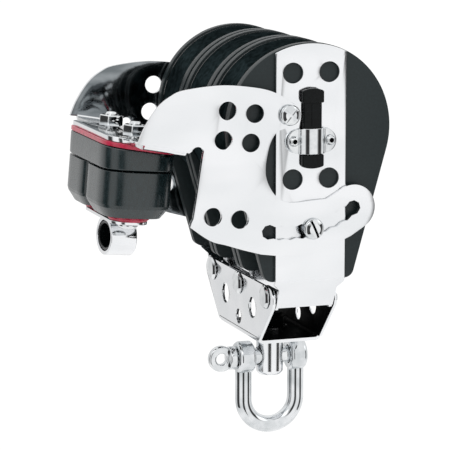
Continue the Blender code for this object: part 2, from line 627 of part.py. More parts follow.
def make_cleat():
    pieces = [make_arm()]
    bolt_holes = [circle(CLEAT_X, side * CAM_Y, 3.3, 14) for side in (-1, 1)]
    outline = rounded_rect(BASE_HALF_X, BASE_HALF_Y, 11.5, 4, (CLEAT_X, 0))
    gasket = slab("cleat_gasket", [outline] + bolt_holes, GASKET_TOP - 2.0, GASKET_TOP, "XY", RED)
    base = slab("cleat_base", [outline] + bolt_holes, BASE_LOW, BASE_TOP, "XY", CHARCOAL)
    pieces += [tilt(gasket, wedge=True),
               tilt(base, wedge=lambda z: (z - BASE_LOW) / (BASE_TOP - BASE_LOW))]
    pieces += make_fairlead()
    for word, side in (("front", -1), ("rear", 1)):
        at = (CLEAT_X, side * CAM_Y, 0)
        make_cam(word, side)
        pieces.append(make_spring(word, side))
        disc = [(3.3, WASHER_LOW), (9.6, WASHER_LOW), (9.6, WASHER_LOW + 2.0), (3.3, WASHER_LOW + 2.0)]
        pieces.append(tilt(turned(f"cam_washer_{word}", disc, "Z", RED, at)))
        low = LEAD_TOP - LEAD_THICK - GAP
        top = PLATE_TOP + 7.6
        bolt = [(0, low - 2.4), (3.0, low - 2.2), (4.7, low - 1.0), (4.7, low), (2.9, low),
                (2.9, top - 1.0), (1.7, top), (0, top)]
        pieces.append(tilt(turned(f"cleat_bolt_{word}", bolt, "Z", CHROME, at, 16)))
        nut_loops = [circle(CLEAT_X, side * CAM_Y, 5.8, 6), circle(CLEAT_X, side * CAM_Y, 3.2, 12)]
        nut = slab(f"cleat_nut_{word}", nut_loops, PLATE_TOP + 0.9, PLATE_TOP + 6.0, "XY", CHROME)
        pieces.append(tilt(nut))
    hang(pieces, pivot_empty("arm_turn", (PIVOT[0], 0, PIVOT[1])))


# ---- head ----
def make_head():
    """A folded channel: two tapering walls and a bottom plate, open front and back."""
    out, low = HEAD_INNER + HEAD_THICK, HEAD_FLOOR - HEAD_THICK
    outer = [(-out, -70.0)] + arc(-out + 3.0, low + 3.0, 3.0, 180, 270, 3) + \
        arc(out - 3.0, low + 3.0, 3.0, 270, 360, 3) + [(out, -70.0)]
    inner = [(HEAD_INNER, -70.0)] + arc(out - 3.0, low + 3.0, 1.5, 360, 270, 3) + \
        arc(-out + 3.0, low + 3.0, 1.5, 270, 180, 3) + [(-HEAD_INNER, -70.0)]
    head = slab("head_bracket", [outer + inner], -55.0, 55.0, "XZ", STEEL)
    half = [(27.0, -106.0), (27.6, -102.8), (46.6, -83.0)] + arc(42.0, -79.6, 5.6, -30, 90, 6)
    mould = slab("mould", [half + [(-y, z) for y, z in reversed(half)]], -20.0, 20.0, "YZ", STEEL)
    combine(head, mould, "INTERSECT")
    drills = [(y, HEAD_PIN_Z, 2.9) for y in (-HEAD_PIN_Y, 0, HEAD_PIN_Y)]
    drills += [(-19.0, -87.6, 4.9), (19.0, -87.6, 4.9), (0.0, -95.4, 3.5)]
    for y, z, radius in drills:
        drill = turned("drill", [(0, -20), (radius, -20), (radius, 20), (0, 20)], "X", STEEL, (0, y, z), 12)
        combine(head, drill, "DIFFERENCE")
    stem = turned("drill", [(0, -110), (6.8, -110), (6.8, -98), (0, -98)], "Z", STEEL, steps=18)
    combine(head, stem, "DIFFERENCE")
    face = HEAD_INNER + HEAD_THICK + GAP
    for word, y in (("front", -HEAD_PIN_Y), ("middle", 0.0), ("rear", HEAD_PIN_Y)):
        rivet = [(0, -face - 1.9), (3.2, -face - 1.5), (5.6, -face - 0.3), (5.6, -face), (2.5, -face)]
        rivet += [(r, -h) for r, h in reversed(rivet)]
        turned(f"head_pin_{word}", rivet, "X", CHROME, (0, y, HEAD_PIN_Z), 14)


# ---- swivel and shackle ----
def make_swivel():
    top = HEAD_FLOOR - HEAD_THICK - 0.4
    profile = [(0, -124.3), (5.3, -124.3), (POST_RADIUS, -122.6), (POST_RADIUS, top), (5.0, top),
               (5.0, -95.6), (4.4, -95.0), (0, -95.0)]
    post = turned("swivel_post", profile, "Z", STEEL)
    bore = turned("bore", [(0, -10), (PIN_RADIUS + GAP, -10), (PIN_RADIUS + GAP, 10), (0, 10)], "X",
                  STEEL, (0, 0, PIN_Z), 18)
    combine(post, bore, "DIFFERENCE")
    washer = [(5.3, HEAD_FLOOR + GAP), (8.4, HEAD_FLOOR + GAP), (8.4, HEAD_FLOOR + 1.3), (5.3, HEAD_FLOOR + 1.3)]
    washer = turned("swivel_washer", washer, "Z", STEEL)
    nut_loops = [circle(0, 0, 8.2, 6), circle(0, 0, 5.3, 16)]
    nut = slab("swivel_nut", nut_loops, HEAD_FLOOR + 1.6, HEAD_FLOOR + 5.8, "XY", CHROME)
    hang([post, washer, nut], pivot_empty("swivel_turn", (0, 0, top)))


def make_shackle():
    """A forged bow with round ears and a screw pin with a flattened eye."""
    sides = 12
    bm = bmesh.new()
    path = [(BOW_RADIUS, PIN_Z, 0.0)] + [
        (BOW_RADIUS * math.cos(a), BOW_CENTRE_Z - BOW_RADIUS * math.sin(a), a)
        for a in [math.pi * i / 12 for i in range(13)]] + [(-BOW_RADIUS, PIN_Z, math.pi)]
    rings = []
    for x, z, a in path:
        ring = []
        for k in range(sides):
            b = 2 * math.pi * k / sides
            out = BOW_BODY * math.cos(b)
            ring.append(bm.verts.new((x + out * math.cos(a), BOW_BODY * math.sin(b), z - out * math.sin(a))))
        rings.append(ring)
    for near, far in zip(rings, rings[1:]):
        for k in range(sides):
            bm.faces.new((near[k - 1], near[k], far[k], far[k - 1]))
    bm.faces.new(rings[0])
    bm.faces.new(rings[-1])
    bow = finish_object("shackle_bow", bm, STEEL)
    for side in (-1, 1):
        ear = [(0, 8.9), (6.6, 8.9), (7.7, 9.9), (7.7, 15.9), (6.6, 17.2), (0, 17.2)]
        if side < 0:
            ear = [(r, -h) for r, h in reversed(ear)]
        combine(bow, turned("ear", ear, "X", STEEL, (0, 0, PIN_Z), 18), "UNION")
    bore = turned("bore", [(0, -25), (PIN_RADIUS + GAP, -25), (PIN_RADIUS + GAP, 25), (0, 25)], "X",
                  STEEL, (0, 0, PIN_Z), 18)
    combine(bow, bore, "DIFFERENCE")
    hang([bow], pivot_empty("shackle_turn", (0, 0, PIN_Z)))

    shaft = [(0, -21.0), (5.6, -21.0), (5.6, -17.7), (PIN_RADIUS, -17.7), (PIN_RADIUS, 16.6),
             (PIN_RADIUS - 0.6, 17.4), (0, 17.4)]
    pin = turned("shackle_pin", shaft, "X", CHROME, (0, 0, PIN_Z), 18)
    eye = slab("eye", [circle(-24.6, PIN_Z, 6.2, 24), circle(-24.6, PIN_Z, 2.65, 14)], -1.9, 1.9, "XZ", CHROME)
    combine(pin, eye, "UNION")
    hang([pin], pivot_empty("pin_track", (0, 0, PIN_Z)))


def main():
    for obj in list(bpy.data.objects):
        bpy.data.objects.remove(obj)
    make_sheaves()
    make_pawl()
    make_cheeks()
    make_straps()
    make_axle()
    make_switch()
    make_cleat()
    make_arm_bolts()
    make_head()
    make_swivel()
    make_shackle()


main()
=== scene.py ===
"""Finished look of the triple ratchet block with its swivel shackle and cam cleat arm.

Laid out as an add-on: settings, one operator for each group of pieces and one for the stage.
Outlines are in millimetres in the frame of the solids, and become metres when a mesh is made.
"""
import math

import bmesh
import bpy
from bmesh.types import BMEdge, BMFace, BMVert
from mathutils import Matrix, Vector


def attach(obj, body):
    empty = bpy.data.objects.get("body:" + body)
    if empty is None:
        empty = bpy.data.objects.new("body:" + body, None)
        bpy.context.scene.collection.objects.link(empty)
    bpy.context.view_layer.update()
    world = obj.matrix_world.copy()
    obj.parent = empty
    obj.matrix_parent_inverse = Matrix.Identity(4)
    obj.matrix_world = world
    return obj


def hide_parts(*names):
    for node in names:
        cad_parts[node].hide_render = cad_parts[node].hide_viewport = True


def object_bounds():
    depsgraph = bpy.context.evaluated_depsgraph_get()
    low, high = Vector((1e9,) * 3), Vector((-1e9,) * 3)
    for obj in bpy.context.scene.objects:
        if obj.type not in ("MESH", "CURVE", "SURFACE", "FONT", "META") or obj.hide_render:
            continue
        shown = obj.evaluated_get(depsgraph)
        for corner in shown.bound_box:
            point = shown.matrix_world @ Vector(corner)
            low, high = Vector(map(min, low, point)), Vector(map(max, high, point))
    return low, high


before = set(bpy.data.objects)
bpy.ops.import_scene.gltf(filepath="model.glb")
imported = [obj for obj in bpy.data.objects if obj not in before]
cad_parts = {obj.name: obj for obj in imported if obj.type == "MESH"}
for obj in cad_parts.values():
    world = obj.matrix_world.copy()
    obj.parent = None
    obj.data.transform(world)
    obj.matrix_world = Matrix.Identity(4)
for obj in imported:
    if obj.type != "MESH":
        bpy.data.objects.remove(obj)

bl_info = {
    "name": "Ratchet block maker",
    "version": (1, 0, 0),
    "blender": (4, 5, 0),
    "location": "3D View > Sidebar > Block",
    "description": "Builds the finished pieces of a triple ratchet block with a cam cleat",
    "category": "Object",
}

CAD_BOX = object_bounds()  # of the solids, in metres
SIDES = (("front", -1), ("rear", 1))

# ---- driving dimensions, in millimetres, as in the solids ----
MM = 0.001  # in metres
GAP = 0.3  # clearance between pieces that rest on each other
PITCH = 35.2  # from one sheave to the next, along the axle
SHEAVE_HALF = 11.8  # half a sheave's width
SHEAVE_RADIUS = 38.4  # over the flanges
GROOVE_APOTHEM = 30.5  # to the flats of the eight-sided groove
SIDE_PLAY = 0.8  # between a sheave and the cheek beside it
CHEEK_THICK = 3.9
CHEEK_RADIUS = 39.0
CHEEK_TAPER = math.radians(15.9)
CHEEK_BOTTOM = -69.4
CHEEK_HUB = 15.0  # edges nearer the axle than this aren't rounded
STRAP_THICK = 1.6
STRAP_HALF = 17.0
STRAP_NARROW = 14.0  # half width where it goes into the head
STRAP_CROWN = 38.7  # radius of its top about the axle
BEND_Z = -69.3  # the outer straps lean in below this
STRAP_END = -83.0
BEND_SLOPE = 0.53
TAB_TOP = -74.5  # of the side tabs folded from a strap's foot
ARM_THICK = 2.0
AXLE_RADIUS = 6.0
AXLE_END_RADIUS = 4.0
PIVOT = (-11.3, 7.2)  # of the cleat arm, X and Z
SLOT_RADIUS = 53.6  # of the arm's locking slot about its pivot
LOCK_ANGLE = 12.6  # of the locking screw, in degrees from straight down
DETENT_STEP = 5.75  # degrees between the slot's rounds
SLOT_REACH = 4 * DETENT_STEP  # from the middle round to the last
PIVOT_HOLE = 3.3  # radii of the holes for the pivot bolts and locking screws
LOCK_HOLE = 2.9
DRIVE_WIDTH = 1.1  # of a driving slot in a screw's head
DRIVE_DEEP = 0.8
HEAD_INNER = 14.3  # half the gap between the head's walls
HEAD_THICK = 1.5
HEAD_PIN_Y = 37.5
HEAD_PIN_Z = -79.0
HEAD_PIN_HOLE = 2.9
HEAD_FLOOR = -102.0  # top of the head's bottom plate
POST_RADIUS = 6.5
PIN_Z = -115.5  # the shackle pin's height
PIN_RADIUS = 4.0
BOW_RADIUS = 13.2  # of the shackle's centre line
BOW_BODY = 3.95  # radius of its bar
BOW_CENTRE_Z = -136.0
CLEAT_X = -72.6
CAM_Y = 19.0  # cam pivots, either side of the middle
PLATE_TOP = -5.0  # the cleat plate's upper face, midway between the cams
CAM_TILT = math.radians(5.0)  # the cams' axes lean this much, their feet away from the sheaves
PLATE_SLOPE = math.tan(math.radians(5.5))  # and the plate above them falls this much more

STRAP_MID_Y = PITCH / 2
CHEEK_FACE_Y = PITCH + SHEAVE_HALF + SIDE_PLAY  # inner face of an outer cheek
STRAP_Y = CHEEK_FACE_Y + CHEEK_THICK + GAP  # inner face of an outer strap
STRAP_OUT_Y = STRAP_Y + STRAP_THICK
ARM_Y = STRAP_OUT_Y + 0.4  # inner face of an arm plate
ARM_OUT_Y = ARM_Y + ARM_THICK
SLIDER_HALF = 5.7  # half widths of the switch
STEM_HALF = 4.5
SWITCH_BACK = -STRAP_OUT_Y - GAP  # back faces of the slider and its guide
GUIDE_SHEET = 1.1
GUIDE_SCREW_X = 8.8
GUIDE_SCREW_Z = -5.0
BASE_HALF_X = 17.2
BASE_HALF_Y = 35.4
BASE_POWER = 3.3  # how square the base's and the cams' ends are; 2 would be round
TOOTH_STEP = 6.0  # degrees between a cam's teeth
TOOTH_DEEP = 0.55
GASKET_TOP = PLATE_TOP - ARM_THICK - GAP
BASE_TOP = GASKET_TOP - 2.3
BASE_LOW = PLATE_TOP - 13.4
CAM_TOP = BASE_LOW - 0.8
CAM_EDGE = PLATE_TOP - 31.0
CAM_LOW = PLATE_TOP - 35.4
WASHER_LOW = CAM_LOW - GAP - 2.0
LEAD_TOP = WASHER_LOW - GAP
LEAD_THICK = 1.5


def srgb(code):
    """A hex colour as the linear values a shader takes."""
    parts = [int(code[i:i + 2], 16) / 255 for i in (1, 3, 5)]
    return tuple(c / 12.92 if c <= 0.04045 else ((c + 0.055) / 1.055) ** 2.4 for c in parts)


def settings():
    return bpy.context.scene.block_settings


# ---- materials ----
def add_node(mat, kind, values=None, links=None, **fields):
    """Add one node with its fields, its input values and its links (input: (node, output))."""
    node = mat.node_tree.nodes.new(kind)
    for key, value in fields.items():
        setattr(node, key, value)
    for key, value in (values or {}).items():
        node.inputs[key].default_value = value
    for key, (source, output) in (links or {}).items():
        mat.node_tree.links.new(source.outputs[output], node.inputs[key])
    return node


FINISHES = {}


def finish(name, low, high, rough, spread, pattern_mm, metallic=0.0, stretch=(1, 1, 1), bump=0.0,
           coat=0.0, specular=0.5, detail=3.0):
    """A surface whose colour, roughness and relief all vary with one soft pattern.

    The colour runs from low to high, the roughness stays within spread of rough, and bump is in millimetres.
    """
    if name in FINISHES:
        return FINISHES[name]
    mat = bpy.data.materials.new(name)
    mat.use_nodes = True
    link = mat.node_tree.links.new
    shader = mat.node_tree.nodes["Principled BSDF"]
    shader.inputs["Metallic"].default_value = metallic
    shader.inputs["Coat Weight"].default_value = coat
    shader.inputs["Coat Roughness"].default_value = 0.08
    if not metallic:
        shader.inputs["Specular IOR Level"].default_value = specular
    place = add_node(mat, "ShaderNodeTexCoord")
    turn = add_node(mat, "ShaderNodeMapping", {"Scale": stretch}, {"Vector": (place, "Object")})
    noise = add_node(mat, "ShaderNodeTexNoise", {"Scale": 1 / (pattern_mm * MM), "Detail": detail,
                                                 "Roughness": 0.55}, {"Vector": (turn, "Vector")})
    ramp = add_node(mat, "ShaderNodeValToRGB", links={"Fac": (noise, "Fac")})
    for stop, position, colour in zip(ramp.color_ramp.elements, (0.36, 0.66), (low, high)):
        stop.position = position
        stop.color = (*colour, 1)
    gloss = add_node(mat, "ShaderNodeMapRange", {"From Min": 0.3, "From Max": 0.7, "To Min": rough - spread,
                                                 "To Max": rough + spread}, {"Value": (noise, "Fac")})
    link(ramp.outputs["Color"], shader.inputs["Base Color"])
    link(gloss.outputs["Result"], shader.inputs["Roughness"])
    if bump:
        relief = add_node(mat, "ShaderNodeBump", {"Strength": 0.35, "Distance": bump * MM},
                          {"Height": (noise, "Fac")})
        link(relief.outputs["Normal"], shader.inputs["Normal"])
    FINISHES[name] = mat
    return mat


def polished_stainless():
    """Stainless sheet, polished on a wheel: near-mirror, with the faintest drift in tone and gloss."""
    return finish("polished_stainless", srgb("#e4e6e8"), settings().steel_colour, rough=0.13, spread=0.012,
                  pattern_mm=26.0, metallic=1.0, stretch=(0.6, 1, 1.5), detail=1.5)


def painted_shade_stainless():
    """The inner faces of the folded arm: the same sheet, made darker as painted shade."""
    return finish("painted_shade_stainless", srgb("#6f7578"), srgb("#999ea1"), rough=0.10, spread=0.03,
                  pattern_mm=9.0, metallic=1.0, stretch=(0.5, 1, 1.4), detail=2.0, bump=0.002)


def painted_shade_finish():
    """Painted shade: near-black that swallows the light, put inside the head, on the swivel nut and in screw
    recesses, where shade falls.
    """
    return finish("painted_shade_black", srgb("#020303"), srgb("#060809"), rough=0.6, spread=0.06,
                  pattern_mm=3.0, bump=0.01, specular=0.02)


def buffed_steel():
    """Turned stainless screws and pins, buffed bright: clear dark and light reflections."""
    return finish("buffed_turned_steel", srgb("#cfd2d4"), srgb("#e6e8e9"), rough=0.06, spread=0.02,
                  pattern_mm=6.0, metallic=1.0, bump=0.001)


def forged_steel():
    """Forged and tumbled stainless for the shackle: soft waves under a bright polish."""
    return finish("tumbled_forged_stainless", srgb("#c6cacc"), srgb("#e2e4e6"), rough=0.07, spread=0.02,
                  pattern_mm=7.0, metallic=1.0, bump=0.02)


def cheek_black():
    """Glass-filled nylon, moulded: satin charcoal with a very fine grain."""
    return finish("moulded_glass_nylon", srgb("#162022"), settings().cheek_colour, rough=0.44, spread=0.05,
                  pattern_mm=1.1, bump=0.01, specular=0.40)


def sheave_black():
    """Hard-anodised aluminium: near black, with thin bright lines where its rims turn."""
    return finish("hard_anodised_sheave", srgb("#0e1415"), settings().sheave_colour, rough=0.20, spread=0.04,
                  pattern_mm=2.6, metallic=1.0, stretch=(1, 6, 1), bump=0.004)


def cleat_charcoal():
    """Carbon-filled moulding for the cams and their base: dark slate, soft broad highlights."""
    return finish("carbon_filled_moulding", srgb("#132022"), settings().cleat_colour, rough=0.27, spread=0.05,
                  pattern_mm=1.6, stretch=(1, 1, 0.4), bump=0.008, coat=0.25, specular=0.6)


def red_acetal():
    """Red acetal sheet: even crimson with a slight sheen."""
    return finish("red_acetal", srgb("#b01f3c"), settings().red_colour, rough=0.30, spread=0.04,
                  pattern_mm=3.0, bump=0.004, coat=0.2)


def switch_black():
    """Moulded nylon for the switch: black with a wet shine."""
    return finish("moulded_black_nylon", srgb("#060809"), srgb("#0d1112"), rough=0.16, spread=0.04,
                  pattern_mm=1.2, bump=0.004, specular=0.14)


def natural_acetal():
    """Natural acetal balls and cage: warm off-white, slightly waxy."""
    return finish("natural_acetal", srgb("#d8d2bd"), srgb("#ece7d6"), rough=0.38, spread=0.05,
                  pattern_mm=2.0, bump=0.004)


# ---- mesh helpers ----
FINE = 3  # how many times finer than the plain solids curves are drawn
SHARP = 34  # degrees past which an edge is shaded sharp


def clean(bm):
    bmesh.ops.remove_doubles(bm, verts=bm.verts, dist=0.0005)
    bmesh.ops.recalc_face_normals(bm, faces=bm.faces)
    return bm


def soften(bm, amount, segments=2, keep=None):
    """Bevel the edges where a flat face meets a side."""
    clean(bm)
    edges = [e for e in bm.edges if len(e.link_faces) == 2 and e.calc_face_angle(0) > 1.0
             and (keep is None or keep(e))]
    bmesh.ops.bevel(bm, geom=edges, offset=amount, offset_type="OFFSET", segments=segments, profile=0.5,
                    affect="EDGES", material=-1, clamp_overlap=True)
    return bm


def join(bm, *others):
    """Add other meshes' faces to one mesh as separate shells."""
    for other in others:
        mesh = bpy.data.meshes.new("part")
        clean(other)
        other.to_mesh(mesh)
        other.free()
        bm.from_mesh(mesh)
        bpy.data.meshes.remove(mesh)
    return bm


def lathe(profile, axis, centre=(0, 0, 0), steps=64):
    """Spin a closed profile of (radius, height along axis) points about an axis."""
    along = {"X": Vector((1, 0, 0)), "Y": Vector((0, 1, 0)), "Z": Vector((0, 0, 1))}[axis]
    out = {"X": Vector((0, 0, 1)), "Y": Vector((1, 0, 0)), "Z": Vector((1, 0, 0))}[axis]
    mid = Vector(centre)
    bm = bmesh.new()
    ring = [bm.verts.new(mid + out * r + along * h) for r, h in profile]
    pairs = zip(ring, ring[1:] + ring[:1])
    edges = [bm.edges.new(p) for p in pairs if any((v.co - mid).cross(along).length > 1e-6 for v in p)]
    bmesh.ops.spin(bm, geom=ring + edges, cent=mid, axis=along, angle=2 * math.pi,
                   steps=steps, use_merge=True)
    return clean(bm)


def flipped(profile):
    """The same profile turned end for end."""
    return [(r, -h) for r, h in reversed(profile)]


def rounded_profile(points, radius=0.3, steps=3):
    """Round the corners of a lathe profile, leaving points on the axis alone."""
    out = []
    count = len(points)
    for i, (r, h) in enumerate(points):
        if r < 1e-6:
            out.append((r, h))
            continue
        here = Vector((r, h))
        before = Vector(points[i - 1]) - here
        after = Vector(points[(i + 1) % count]) - here
        reach = min(radius, before.length * 0.45, after.length * 0.45)
        start, end = here + before.normalized() * reach, here + after.normalized() * reach
        for k in range(steps + 1):
            t = k / steps
            spot = start.lerp(here, t).lerp(here.lerp(end, t), t)
            out.append((spot.x, spot.y))
    return out


def picked(geom, kind):
    """The vertices, edges or faces among an operator's results."""
    return [g for g in geom if isinstance(g, kind)]


def to_object(name, bm):
    """Turn a mesh in millimetres into an object in metres."""
    bm.transform(Matrix.Scale(MM, 4))
    mesh = bpy.data.meshes.new(name)
    bm.to_mesh(mesh)
    bm.free()
    obj = bpy.data.objects.new(name, mesh)
    bpy.context.scene.collection.objects.link(obj)
    return obj


def shade(mesh, edge=SHARP):
    mesh.shade_smooth()
    mesh.set_sharp_from_angle(angle=math.radians(edge))


def piece(name, bm, body, look, node, edge=SHARP):
    """Finish one piece: its material, the body it rides on and the solid it stands for."""
    obj = to_object(name, clean(bm))
    obj.data.materials.append(look)
    shade(obj.data, edge)
    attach(obj, body)
    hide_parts(node)
    return obj


def second_look(obj, look, wanted):
    """Give another material to the faces that wanted(centre, normal) picks, in millimetres."""
    obj.data.materials.append(look)
    for face in obj.data.polygons:
        if wanted(face.center / MM, face.normal):
            face.material_index = 1


def cut(obj, tool_mesh):
    """Cut one shape out of a finished piece."""
    tool = to_object("tool", tool_mesh)
    mod = obj.modifiers.new("cut", "BOOLEAN")
    mod.operation, mod.object, mod.solver = "DIFFERENCE", tool, "EXACT"
    bpy.context.view_layer.update()
    graph = bpy.context.evaluated_depsgraph_get()
    made = bpy.data.meshes.new_from_object(obj.evaluated_get(graph))
    obj.modifiers.clear()
    made.name = obj.name
    obj.data = made
    bpy.data.objects.remove(tool)
    shade(made)


def tilt_mesh(bm, wedge=0.0):
    """Lean a cleat mesh about the plate's middle; wedge says how far points follow the plate's slope."""
    middle = Vector((CLEAT_X, 0, PLATE_TOP))
    turn = Matrix.Translation(middle) @ Matrix.Rotation(CAM_TILT, 4, "Y") @ Matrix.Translation(-middle)
    for v in bm.verts:
        follow = wedge(v.co.z) if callable(wedge) else wedge
        v.co = turn @ v.co
        v.co.z -= follow * PLATE_SLOPE * (v.co.x - middle.x)
    return bm


# ---- outlines ----
def arc(cx, cy, radius, first, last, steps):
    """Points on an arc, angles in degrees from +X towards the second axis."""
    count = steps * FINE
    angles = [math.radians(first + (last - first) * i / count) for i in range(count + 1)]
    return [(cx + radius * math.cos(a), cy + radius * math.sin(a)) for a in angles]


def circle(cx, cy, radius, steps=16):
    return arc(cx, cy, radius, 0, 360, steps)[:-1]


def rect(a0, b0, a1, b1):
    return [(a0, b0), (a1, b0), (a1, b1), (a0, b1)]


def rounded_rect(half_a, half_b, corner):
    a, b = half_a - corner, half_b - corner
    corners = enumerate(((a, b), (-a, b), (-a, -b), (a, -b)))
    return [spot for k, at in corners for spot in arc(*at, corner, 90 * k, 90 * k + 90, 3)]


def smooth_run(points, per_span=8):
    """A Catmull-Rom curve through the points, ends included."""
    ends = [points[0]] + list(points) + [points[-1]]
    out = []
    for p0, p1, p2, p3 in zip(ends, ends[1:], ends[2:], ends[3:]):
        for i in range(per_span):
            t = i / per_span
            out.append(tuple(
                0.5 * (2 * b + (c - a) * t + (2 * a - 5 * b + 4 * c - d) * t * t
                       + (3 * b - a - 3 * c + d) * t ** 3)
                for a, b, c, d in zip(p0, p1, p2, p3)))
    out.append(points[-1])
    return out


def slab_mesh(loops, low, high, plane):
    """A flat plate from an outline and its holes, between two heights in either order.

    plane names the outline's two axes.
    """
    place = {"XZ": lambda a, b, h: (a, h, b), "YZ": lambda a, b, h: (h, a, b),
             "XY": lambda a, b, h: (a, b, h)}[plane]
    bm = bmesh.new()
    edges = []
    for loop in loops:
        ring = [bm.verts.new(place(a, b, low)) for a, b in loop]
        edges += [bm.edges.new((ring[i - 1], ring[i])) for i in range(len(ring))]
    bmesh.ops.triangle_fill(bm, edges=edges, use_beauty=True, use_dissolve=False)
    grown = bmesh.ops.extrude_face_region(bm, geom=list(bm.faces))
    bmesh.ops.translate(bm, verts=picked(grown["geom"], BMVert), vec=Vector(place(0, 0, high - low)))
    return bm


def channel(out, low, rim, bend, thick, steps, inner_steps):
    """The section of a sheet folded to a channel that is open at the top, out being its half width."""
    outer = ([(-out, rim)] + arc(-out + bend, low + bend, bend, 180, 270, steps)
             + arc(out - bend, low + bend, bend, 270, 360, steps) + [(out, rim)])
    inner = ([(out - thick, rim)] + arc(out - bend, low + bend, bend - thick, 360, 270, inner_steps)
             + arc(-out + bend, low + bend, bend - thick, 270, 180, inner_steps) + [(-out + thick, rim)])
    return outer + inner


def hex_nut(cx, cy, radius, bore, low, high):
    """A nut along Z, its radius out to the corners."""
    corners = circle(cx, cy, radius, 6 // FINE)
    return soften(slab_mesh([corners, circle(cx, cy, bore)], low, high, "XY"), 0.5, 3)


def cheek_outline():
    low = -math.degrees(CHEEK_TAPER)
    side_x = CHEEK_RADIUS * math.cos(CHEEK_TAPER)
    side_z = -CHEEK_RADIUS * math.sin(CHEEK_TAPER)
    corner = 4.5
    drop = side_z - (CHEEK_BOTTOM + corner)
    foot_x = side_x - drop * math.tan(CHEEK_TAPER)
    right = arc(foot_x - corner, CHEEK_BOTTOM + corner, corner, -90, low, 4)
    left = arc(-foot_x + corner, CHEEK_BOTTOM + corner, corner, 180 - low, 270, 4)
    return right + arc(0, 0, CHEEK_RADIUS, low, 180 - low, 30) + left


def strap_outline(end):
    start = math.degrees(math.acos(STRAP_HALF / STRAP_CROWN))
    crown = arc(0, 0, STRAP_CROWN, start, 180 - start, 8)
    neck = BEND_Z - 1.5
    left = [(-STRAP_HALF, neck), (-STRAP_NARROW, neck - 3), (-STRAP_NARROW, end)]
    right = [(STRAP_NARROW, end), (STRAP_NARROW, neck - 3), (STRAP_HALF, neck)]
    return crown + left + right


def lightening_holes():
    return [circle(x, z, 4.65, 12) for x in (-8.75, 8.75) for z in (25.7, -22.5)]


def from_pivot(radius, angle):
    """A point at an angle in degrees from straight down, towards +X, about the arm's pivot."""
    a = math.radians(angle)
    return (PIVOT[0] + radius * math.sin(a), PIVOT[1] - radius * math.cos(a))


LOCK_SPOT = from_pivot(SLOT_RADIUS, LOCK_ANGLE)


def arm_screw_holes():
    return [circle(*PIVOT, PIVOT_HOLE), circle(*LOCK_SPOT, LOCK_HOLE)]


def tongue_slot():
    """The slot that the switch's tongue slides in."""
    return rect(-1.9, 6.9, 1.9, 18.6)


def cleat_holes(radius):
    return [circle(CLEAT_X, side * CAM_Y, radius) for side in (-1, 1)]


def arm_outline():
    """The claw-shaped arm plate, from the cleat over the pivot and back along the slot."""
    top = smooth_run([(-82.3, -3.2), (-79.0, 4.2), (-73.0, 12.8), (-66.5, 17.7), (-59.8, 20.1),
                      (-42.3, 21.6), (-24.9, 19.6), (-15.5, 16.2), (-8.8, 11.7)])
    lobe = arc(*PIVOT, 5.3, 50, -50, 7)
    throat = smooth_run([(-8.6, 2.3), (-13.0, 1.3), (-18.0, -1.2), (-21.3, -8.5), (-22.4, -20.0),
                         (-17.6, -29.3), (-10.5, -32.6), (0.5, -32.2), from_pivot(43.1, 25)])
    end = from_pivot(SLOT_RADIUS, LOCK_ANGLE + SLOT_REACH)
    nose = arc(*end, 10.5, 116, -60, 8)
    rim = [from_pivot(64.1, a) for a in range(28, -28, -8)]
    tail = smooth_run([from_pivot(65.0, -28), (-49.0, -47.8), (-58.5, -41.0)])
    heel = smooth_run([(-56.7, -37.5), (-54.8, -26.4), (-51.9, -7.6)])
    notch = arc(-54.6, -8.2, 2.9, 10, 160, 5)
    sole = [(-58.6, -8.0), (-64.0, -6.6), (-70.0, -4.7)]
    return top[:-1] + lobe + throat + nose + rim + tail + heel[:-1] + notch + sole


def arm_slot():
    """The scalloped locking slot: nine detent rounds joined by narrower necks."""
    wide, narrow = 3.4, 2.65
    outer, inner = [], []
    for i in range(-8, 9):
        half = narrow if i % 2 else wide
        at = LOCK_ANGLE + i * DETENT_STEP / 2
        outer.append(from_pivot(SLOT_RADIUS + half, at))
        inner.append(from_pivot(SLOT_RADIUS - half, at))
    reach = math.degrees(wide / SLOT_RADIUS)
    ends = []
    for side in (1, -1):
        last = LOCK_ANGLE + side * SLOT_REACH
        ends.append([from_pivot(SLOT_RADIUS + side * dr, last + side * reach * k)
                     for dr, k in ((2.4, 0.7), (0, 1), (-2.4, 0.7))])
    return outer + ends[0] + inner[::-1] + ends[1]


def groove_radius(angle):
    """Distance to the eight-sided groove's flats at an angle about the axle."""
    eighth = math.pi / 4
    return GROOVE_APOTHEM / math.cos((angle % eighth) - eighth / 2)


def cam_radius(angle):
    """A cam's outline about its pivot: a block shape cut by a toothed spiral jaw."""
    c, s = math.cos(angle), math.sin(angle)
    reach_x = (BASE_HALF_X - 0.2) / max(abs(c), 1e-6)
    reach_y = (BASE_HALF_Y - CAM_Y if s < 0 else CAM_Y - 0.7) / max(abs(s), 1e-6)
    power = BASE_POWER if s < 0 else 7.0
    block = (reach_x ** -power + reach_y ** -power) ** (-1 / power)
    degrees = math.degrees(angle) % 360
    if degrees > 127 or degrees < 15:
        return block
    spiral = 18.2 - max(0.0, 95.0 - degrees) * 0.075 - max(0.0, degrees - 100.0) * 0.012
    if 40 < degrees < 112:
        spiral -= TOOTH_DEEP * ((degrees / TOOTH_STEP) % 1.0)
    return min(block, spiral)


def base_outline(half_x, half_y):
    """The cleat's plan: straight sides with full, rounded ends that match the cams."""
    half = []
    for i in range(97):
        a = math.pi * i / 96
        c, s = math.cos(a), math.sin(a)
        r = ((abs(c) / half_x) ** BASE_POWER + (s / (half_y - CAM_Y)) ** BASE_POWER) ** (-1 / BASE_POWER)
        half.append((r * c, CAM_Y + r * s))
    return [(CLEAT_X + x, y) for x, y in half] + [(CLEAT_X - x, -y) for x, y in half]


